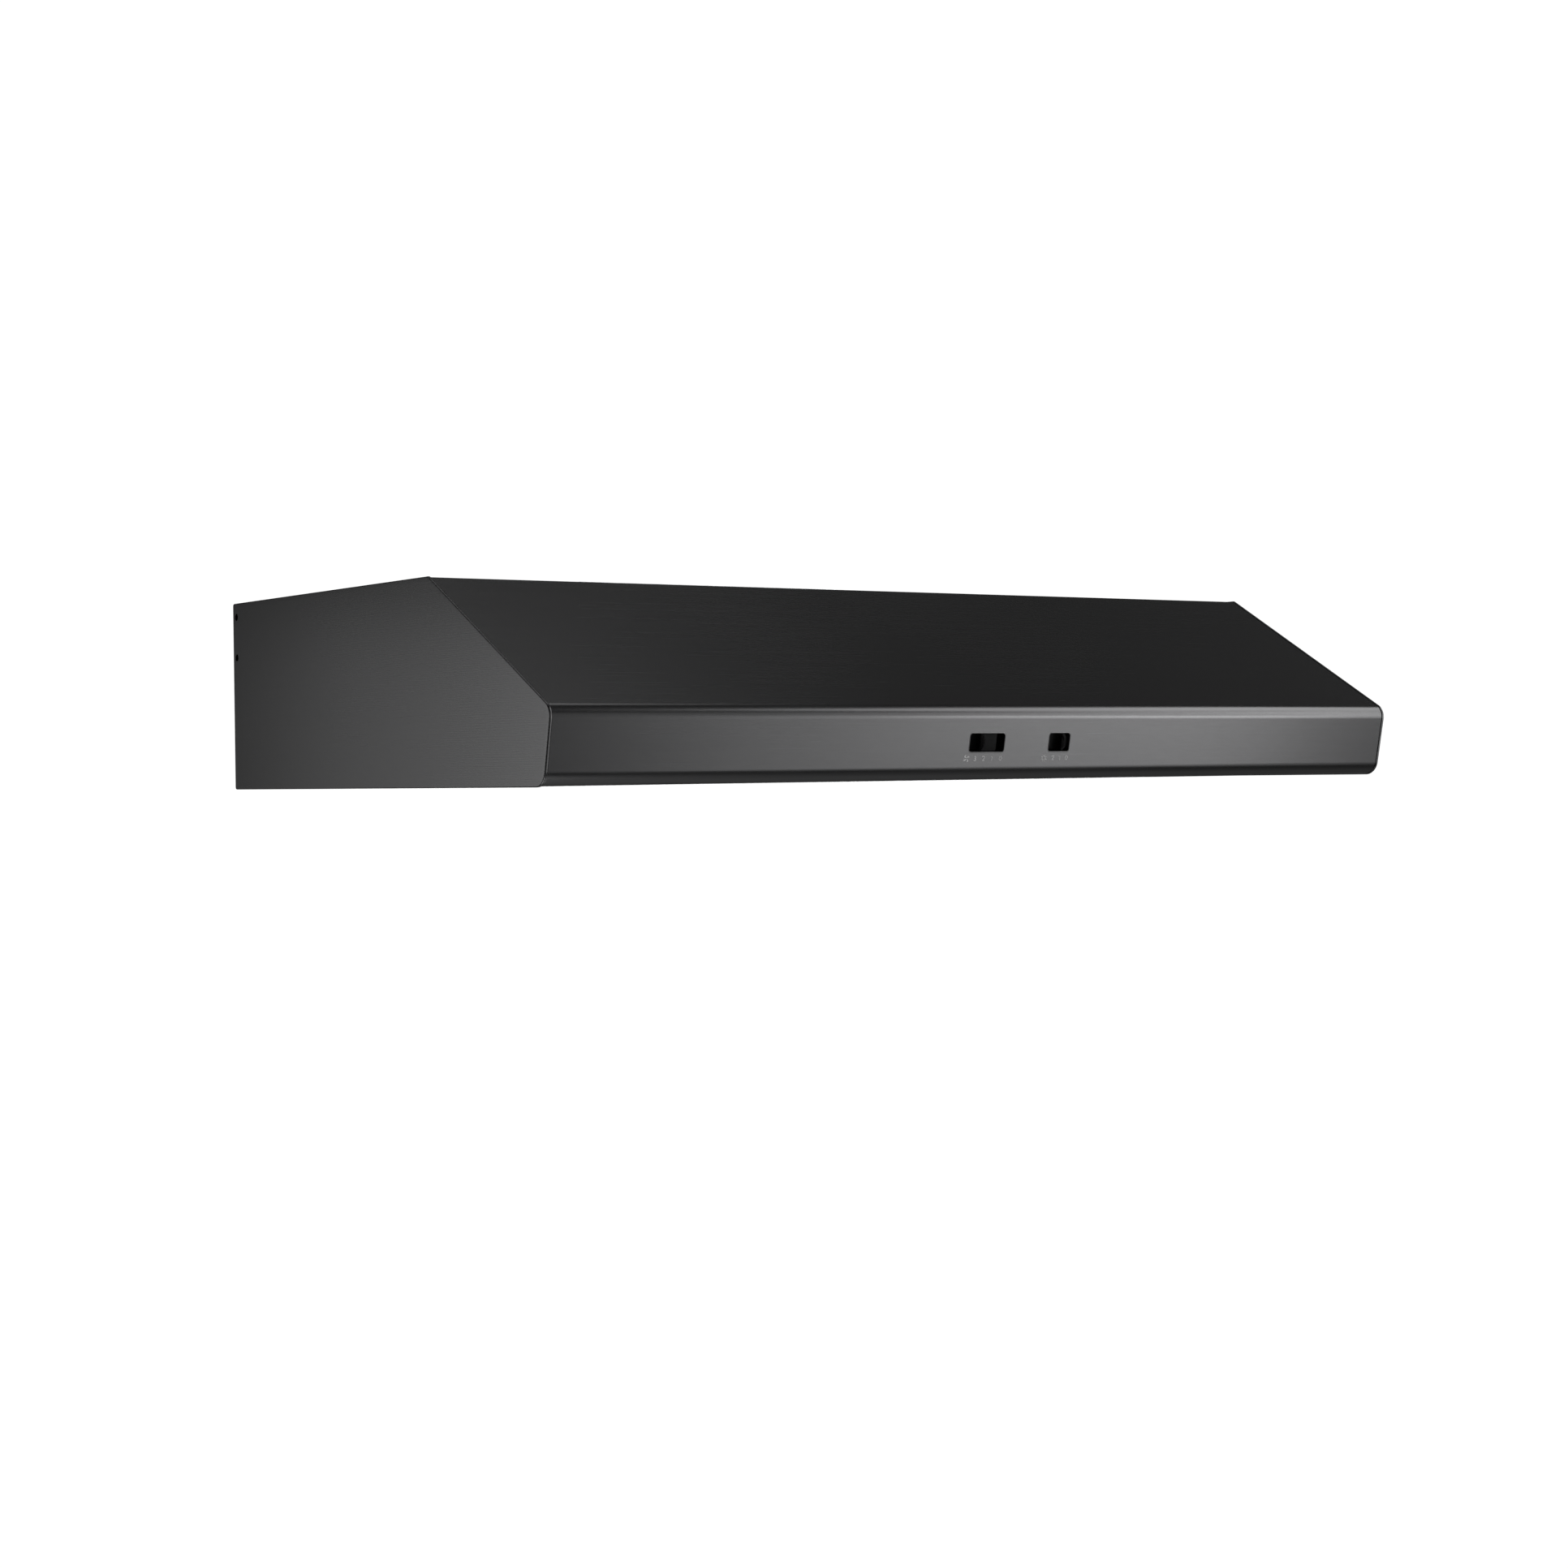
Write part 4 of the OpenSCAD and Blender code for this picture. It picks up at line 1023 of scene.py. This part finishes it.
    # front spring clips
    cl = []
    for k in (-110, 110):
        line = [(-423.95, 13.9), (-423.95, 4.2), (-423.8, 3.0), (-423.2, 2.3), (-422.2, 2.05), (-418.6, 2.05), (-417.6, 1.75), (-416.9, 1.55), (-416.35, 1.75)]
        c = extrude_x("clip", strip_path(line, 0.5), cx + k - 5.9, cx + k + 5.9, "spring", 60)
        cl.append(c)
        cl.append(lathe("clip_rivet", [(0, 0.0), (1.7, 0.0), (1.7, -0.35), (1.2, -0.75), (0, -0.95)], mm(cx + k, -423.5, 9.5), (0, -1, 0), "zinc", 16))
    c = join(cl, nm + "_clips")
    finish_edges(c, 0.0001, 1, 50, weighted=False)
    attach(c, "hood")
    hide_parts(nm + "_filter_clips")


filter_unit(-1)
filter_unit(1)

# ---------------------------------------------------------------- lamp lenses: pressed rings on the face, a plain edge


def lamp_lens(side):
    prof = [(0, 0.75), (2.2, 0.75)]
    r = 2.2
    while r < 19.0:
        prof += [(r + 0.25, 0.42), (r + 1.35, 0.42), (r + 1.6, 0.75), (r + 1.9, 0.75)]
        r += 1.9
    prof += [(21.2, 0.34), (22.2, 0.36), (22.6, 0.7), (22.65, 1.62), (23.2, 1.66), (23.4, 1.9), (23.4, 3.1), (23.15, 3.35), (0, 3.35)]
    ob = lathe("lamp_lens_%s" % ("left" if side < 0 else "right"), prof, mm(side * 250, -452, 0), (0, 0, 1), "lens", 72, 30)
    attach(ob, "hood")
    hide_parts("left_lamp_lens" if side < 0 else "right_lamp_lens")


lamp_lens(-1)
lamp_lens(1)

# ---------------------------------------------------------------- wire bundles


def route(name, node, pts, r, mat):
    ob = tube(name, [mm(*p) for p in pts], r / 1000, mat, 14, 5, 0.035)
    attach(ob, "hood")
    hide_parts(node)


route("front_harness_sleeve", "front_harness",
      [(-290.1, -50, 130), (-315, -50, 130), (-323, -53, 130), (-326, -62, 130), (-326, -200, 130), (-326, -320, 129), (-326, -335, 126),
       (-326, -400, 98), (-326, -458, 62), (-325, -468, 50), (-320, -472, 40), (-308, -472, 35), (-200, -472, 34), (-50, -472, 34),
       (100, -472, 34), (225, -472, 34), (240, -467, 34), (247, -460, 33.6), (249.6, -454, 31.5), (250, -452, 28), (250, -452, 24.05)],
      2.9, "sleeve")
route("motor_lead_sleeve", "motor_lead",
      [(-179.9, -84, 125), (-160, -84, 125), (-152, -88, 125), (-150, -98, 125), (-150, -138, 128), (-147, -148, 129), (-137, -152, 130),
       (-60, -152, 130), (-36, -150, 130), (-26, -143, 129), (-24, -134, 125), (-24, -118.4, 110.5)],
      2.4, "sleeve")

# ---------------------------------------------------------------- screws and rivets


def pan_screw(at, out, r, h, sr, length):
    """Pan head with a cross recess, standing out along `out` from the sheet face at `at`."""
    prof = [(0, h), (r * 0.5, h - 0.03), (r * 0.74, h - 0.2), (r * 0.9, h - 0.6), (r * 0.985, h * 0.36), (r * 0.985, 0.12), (r * 0.95, 0.0), (sr, 0.0), (sr, -length), (0, -length)]
    ob = lathe("screw", prof, at, out, "zinc", 28)
    ax = Vector(out).normalized()
    u = ax.orthogonal().normalized()
    w = ax.cross(u)
    cs = []
    for a, b in ((u, w), (w, u)):
        e, q = r * 0.5 / 1000, 0.00042
        pts = [(-e, -q), (e, -q), (e, q), (-e, q)]
        z0, z1 = (h - 1.0) / 1000, (h + 1) / 1000
        cs.append(prism_world("c", pts, lambda x, y, a=a, b=b: at + a * x + b * y + ax * z0, lambda x, y, a=a, b=b: at + a * x + b * y + ax * z1, "zinc"))
    cut(ob, cs)
    return ob


def rivet(at, out, r, h, sr, length):
    """Blind rivet: low domed flange with the broken stem left in the middle."""
    prof = [(0, h * 0.62), (0.85, h * 0.62), (0.95, h * 0.45), (1.2, h * 0.9), (1.7, h * 0.98), (r * 0.8, h * 0.72), (r * 0.985, h * 0.28), (r * 0.985, 0), (sr, 0), (sr, -length), (0, -length)]
    return lathe("rivet", prof, at, out, "zinc", 24)


def fasteners(name, node, items):
    ob = join(items, name)
    ob.data.polygons.foreach_set("use_smooth", [True] * len(ob.data.polygons))
    ob.data.set_sharp_from_angle(angle=math.radians(38))
    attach(ob, "hood")
    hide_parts(node)


UP, DOWN, INTO = (0, 0, 1), (0, 0, -1), (0, -1, 0)
DY = -71.3
fasteners("blower_fixings", "blower_screws",
          [pan_screw(mm(x, y, H - 2 * T), DOWN, 3.6, 2.0, 1.9, 3 * T) for x in (-86, 86) for y in (DY - 47.4, DY + 47.4)]
          + [pan_screw(mm(0, y, H - T - 1), DOWN, 3.6, 2.0, 1.9, T + 1) for y in (-138.5, -41.5)])
fasteners("collar_fixings", "collar_screws", [pan_screw(mm(x, DY, H + T), UP, 3.6, 2.0, 1.9, T + 4) for x in (-133, 133)])
fasteners("cover_fixings", "cover_screws", [pan_screw(mm(x, -100.8, 97), INTO, 3.0, 1.8, 1.5, 3.8) for x in (-270, -200)])
fasteners("blanking_fixings", "blanking_screws", [pan_screw(mm(x, -2 * T, z), INTO, 3.6, 1.8, 1.9, 1.5) for x in (-133, 133) for z in (40, 106)])
fasteners("canopy_fixings", "canopy_rivets",
          [rivet(mm(x, y, H - T), DOWN, 3.2, 1.4, 1.9, T + 0.6) for x in (-372, 372) for y in (-60, -180, -300)]
          + [rivet(mm(x, -2 * T, 132), INTO, 3.2, 1.4, 1.9, 1.5) for x in (-300, -150, 0, 150, 300)])

# ---------------------------------------------------------------- impellers: curved vanes between two rolled rings, a middle disc and hub


def wheel(side):
    by, bz = -90.0, 72.0
    items = []
    vv, ff = [], []
    for i in range(36):
        a0 = math.radians(i * 10)
        line = []
        for k in range(9):
            t = -1 + 2 * k / 8
            line.append((4.0 * t, 0.75 * (1 - t * t) - 0.45))
        pts = strip_path(line, 0.55)
        c, s = math.cos(math.radians(25)), math.sin(math.radians(25))
        out = []
        for px, py in pts:
            qx, qy = 39.6 + px * c - py * s, px * s + py * c
            out.append((by + qx * math.cos(a0) - qy * math.sin(a0), bz + qx * math.sin(a0) + qy * math.cos(a0)))
        n, base = len(out), len(vv)
        vv += [mm(side * 51.0, y, z) for y, z in out] + [mm(side * 117.0, y, z) for y, z in out]
        ff += [tuple(range(base, base + n)), tuple(range(base + n, base + 2 * n))[::-1]]
        ff += [(base + j, base + n + j, base + n + (j + 1) % n, base + (j + 1) % n) for j in range(n)]
    items.append(obj_from("vanes", vv, ff, "wheel", smooth=50))
    for x in (50, 116):
        prof = []
        for k in range(16):
            a = 2 * math.pi * k / 16
            sx, sy = math.cos(a), math.sin(a)
            e = 0.55
            prof.append((40.5 + 3.5 * math.copysign(abs(sx) ** e, sx), x + 1 + 0.98 * math.copysign(abs(sy) ** e, sy)))
        items.append(lathe("ring", prof, mm(0, by, bz), (side, 0, 0), "wheel", 96))
    prof = [(4.02, 74.3), (4.4, 74.0), (9.4, 74.0), (10.0, 74.6), (10.0, 82.4), (10.7, 83.1), (42.9, 83.1), (43.5, 83.6), (43.5, 84.4), (42.9, 84.9), (10.7, 84.9), (10.0, 85.6), (10.0, 93.4), (9.4, 94.0), (4.4, 94.0), (4.02, 93.7)]
    items.append(lathe("disc", prof, mm(0, by, bz), (side, 0, 0), "wheel", 96))
    ob = join(items, "left_wheel" if side < 0 else "right_wheel")
    ob.data.polygons.foreach_set("use_smooth", [True] * len(ob.data.polygons))
    ob.data.set_sharp_from_angle(angle=math.radians(40))
    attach(ob, "rotor")
    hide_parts("left_impeller" if side < 0 else "right_impeller")


wheel(-1)
wheel(1)

# ---------------------------------------------------------------- stage and light
def stage_plane(name, verts, faces, mat):
    me = bpy.data.meshes.new(name)
    me.from_pydata([tuple(v) for v in verts], [], faces)
    ob = bpy.data.objects.new(name, me)
    scene.collection.objects.link(ob)
    me.materials.append(mat)
    me.polygons.foreach_set("use_smooth", [True] * len(me.polygons))
    return ob


fm, nt, bs = new_mat("pale_floor")
v = coords(nt, (1, 1, 1))
f = noise(nt, v, 3.0, 3.0, 0.5)
nt.links.new(ramp2(nt, f, (0.90, 0.90, 0.90), (0.93, 0.93, 0.93)), bs.inputs["Base Color"])
bs.inputs["Roughness"].default_value = 0.85
em = add(nt, "ShaderNodeEmission")
em.inputs["Color"].default_value = (1, 1, 1, 1)
em.inputs["Strength"].default_value = 1.05
dk = add(nt, "ShaderNodeBsdfDiffuse")
dk.inputs["Color"].default_value = (0.3, 0.3, 0.3, 1)
mx = add(nt, "ShaderNodeMixShader")
mx2 = add(nt, "ShaderNodeMixShader")
mx2.inputs[0].default_value = 0.995
lpn = add(nt, "ShaderNodeLightPath")
outn = [n for n in nt.nodes if n.type == "OUTPUT_MATERIAL"][0]
nt.links.new(bs.outputs[0], mx2.inputs[1])
nt.links.new(em.outputs[0], mx2.inputs[2])
nt.links.new(lpn.outputs["Is Camera Ray"], mx.inputs[0])
nt.links.new(dk.outputs[0], mx.inputs[1])
nt.links.new(mx2.outputs[0], mx.inputs[2])
nt.links.new(mx.outputs[0], outn.inputs[0])
FZ = -4.5
stage_plane("floor", [(-14, -14, FZ), (14, -14, FZ), (14, 14, FZ), (-14, 14, FZ)], [(0, 1, 2, 3)], fm)
floor = bpy.data.objects["floor"]
floor.visible_glossy = False
floor.visible_diffuse = False

world = bpy.data.worlds.new("studio")
scene.world = world
world.use_nodes = True
nt = world.node_tree
for n in list(nt.nodes):
    nt.nodes.remove(n)
wo = nt.nodes.new("ShaderNodeOutputWorld")
bg = nt.nodes.new("ShaderNodeBackground")
bg2 = nt.nodes.new("ShaderNodeBackground")
mix = nt.nodes.new("ShaderNodeMixShader")
lp = nt.nodes.new("ShaderNodeLightPath")
bg.inputs["Strength"].default_value = 1.0
bg.inputs["Color"].default_value = (1, 1, 1, 1)
bg2.inputs["Color"].default_value = (1, 1, 1, 1)
bg2.inputs["Strength"].default_value = 1.05
nt.links.new(lp.outputs["Is Camera Ray"], mix.inputs[0])
nt.links.new(bg.outputs[0], mix.inputs[1])
nt.links.new(bg2.outputs[0], mix.inputs[2])
nt.links.new(mix.outputs[0], wo.inputs[0])
# plain dim room light, with the pale floor's glow from below
tc = nt.nodes.new("ShaderNodeTexCoord")
sx_ = nt.nodes.new("ShaderNodeSeparateXYZ")
nt.links.new(tc.outputs["Generated"], sx_.inputs[0])
rp = nt.nodes.new("ShaderNodeValToRGB")
mr = nt.nodes.new("ShaderNodeMapRange")
mr.inputs["From Min"].default_value = -1
mr.inputs["From Max"].default_value = 1
nt.links.new(sx_.outputs["Z"], mr.inputs["Value"])
nt.links.new(mr.outputs["Result"], rp.inputs["Fac"])
cr = rp.color_ramp
cr.interpolation = "EASE"
cr.elements[0].position, cr.elements[0].color = 0.0, (0.60, 0.60, 0.60, 1)
cr.elements[1].position, cr.elements[1].color = 1.0, (0.08, 0.08, 0.08, 1)
for p, c in ((0.22, 0.10), (0.5, 0.075)):
    e = cr.elements.new(p)
    e.color = (c, c, c, 1)
nt.links.new(rp.outputs["Color"], bg.inputs["Color"])


def area(name, loc, target, size, size_y, power, spread=180):
    d = bpy.data.lights.new(name, "AREA")
    d.shape = "RECTANGLE"
    d.size, d.size_y = size, size_y
    d.energy = power
    d.spread = math.radians(spread)
    o = bpy.data.objects.new(name, d)
    scene.collection.objects.link(o)
    o.location = loc
    o.visible_camera = False
    o.rotation_euler = (Vector(target) - Vector(loc)).to_track_quat("-Z", "Y").to_euler()
    return o


KEY = Vector((0.95, -1.50, 0.0))
ALONG = Vector((1.16, 0.90, 0.0)).normalized()
KEYS = []


def key_box(name, along, z, size, size_y, power):
    """One panel of the front-right soft box, all in one upright plane facing the lip."""
    facing = Vector((-0.90, 1.16, 0.0)).normalized()
    p = KEY + ALONG * along - facing * (0.012 * len(KEYS))
    p.z = z
    KEYS.append(area(name, p, p + facing, size, size_y, power))


key_box("key_wide", 0.0, -0.15, 1.25, 1.5, 3.9)
key_box("key_middle", 0.0, -0.45, 0.75, 0.9, 2.9)
key_box("key_centre", 0.125, -0.30, 0.5, 0.6, 1.6)
key_box("key_core", 0.125, -0.15, 0.5, 0.3, 1.9)
key_box("key_upper", 0.25, 0.30, 0.75, 0.6, 2.8)
key_box("key_right", 0.375, 0.15, 0.5, 0.9, 1.7)
key_box("key_right_edge", 0.5, 0.30, 0.25, 0.6, 0.75)
area("over_right", (2.40, -1.31, 1.78), (0.0, -0.34, -0.1), 2.1, 1.4, 35.5)
area("over_back", (0.70, 0.70, 3.80), (0.0, -0.3, 0.0), 2.2, 2.2, 29.0)
area("over_near", (0.95, -0.70, 0.85), (0.45, -0.70, 0.0), 0.3, 0.45, 0.6)
area("side_near", (-1.04, 0.96, -0.18), (-0.38, -0.10, -0.08), 0.45, 0.5, 0.5)
area("side_mid", (-1.30, 0.75, -0.18), (-0.38, -0.10, -0.08), 0.45, 0.5, 1.5)
area("side_high", (-1.30, 0.75, 0.32), (-0.38, -0.10, -0.08), 0.45, 0.5, 0.4)
area("low_left", (-0.25, -0.52, -0.95), (-0.3, -0.33, -0.14), 0.4, 0.75, 4.3)
area("rear_fill", (1.3, 2.0, -0.1), (0.0, 0.16, -0.07), 1.4, 1.0, 22.0)
area("left_fill", (-3.0, -0.35, 0.1), (-0.38, -0.1, -0.1), 1.4, 1.2, 9.0)
area("right_fill", (2.8, 0.9, 0.1), (0.38, -0.1, -0.1), 1.4, 1.2, 15.0)
area("front_fill", (-0.3, -3.4, 0.5), (0.0, -0.34, -0.1), 1.6, 1.2, 6.0)
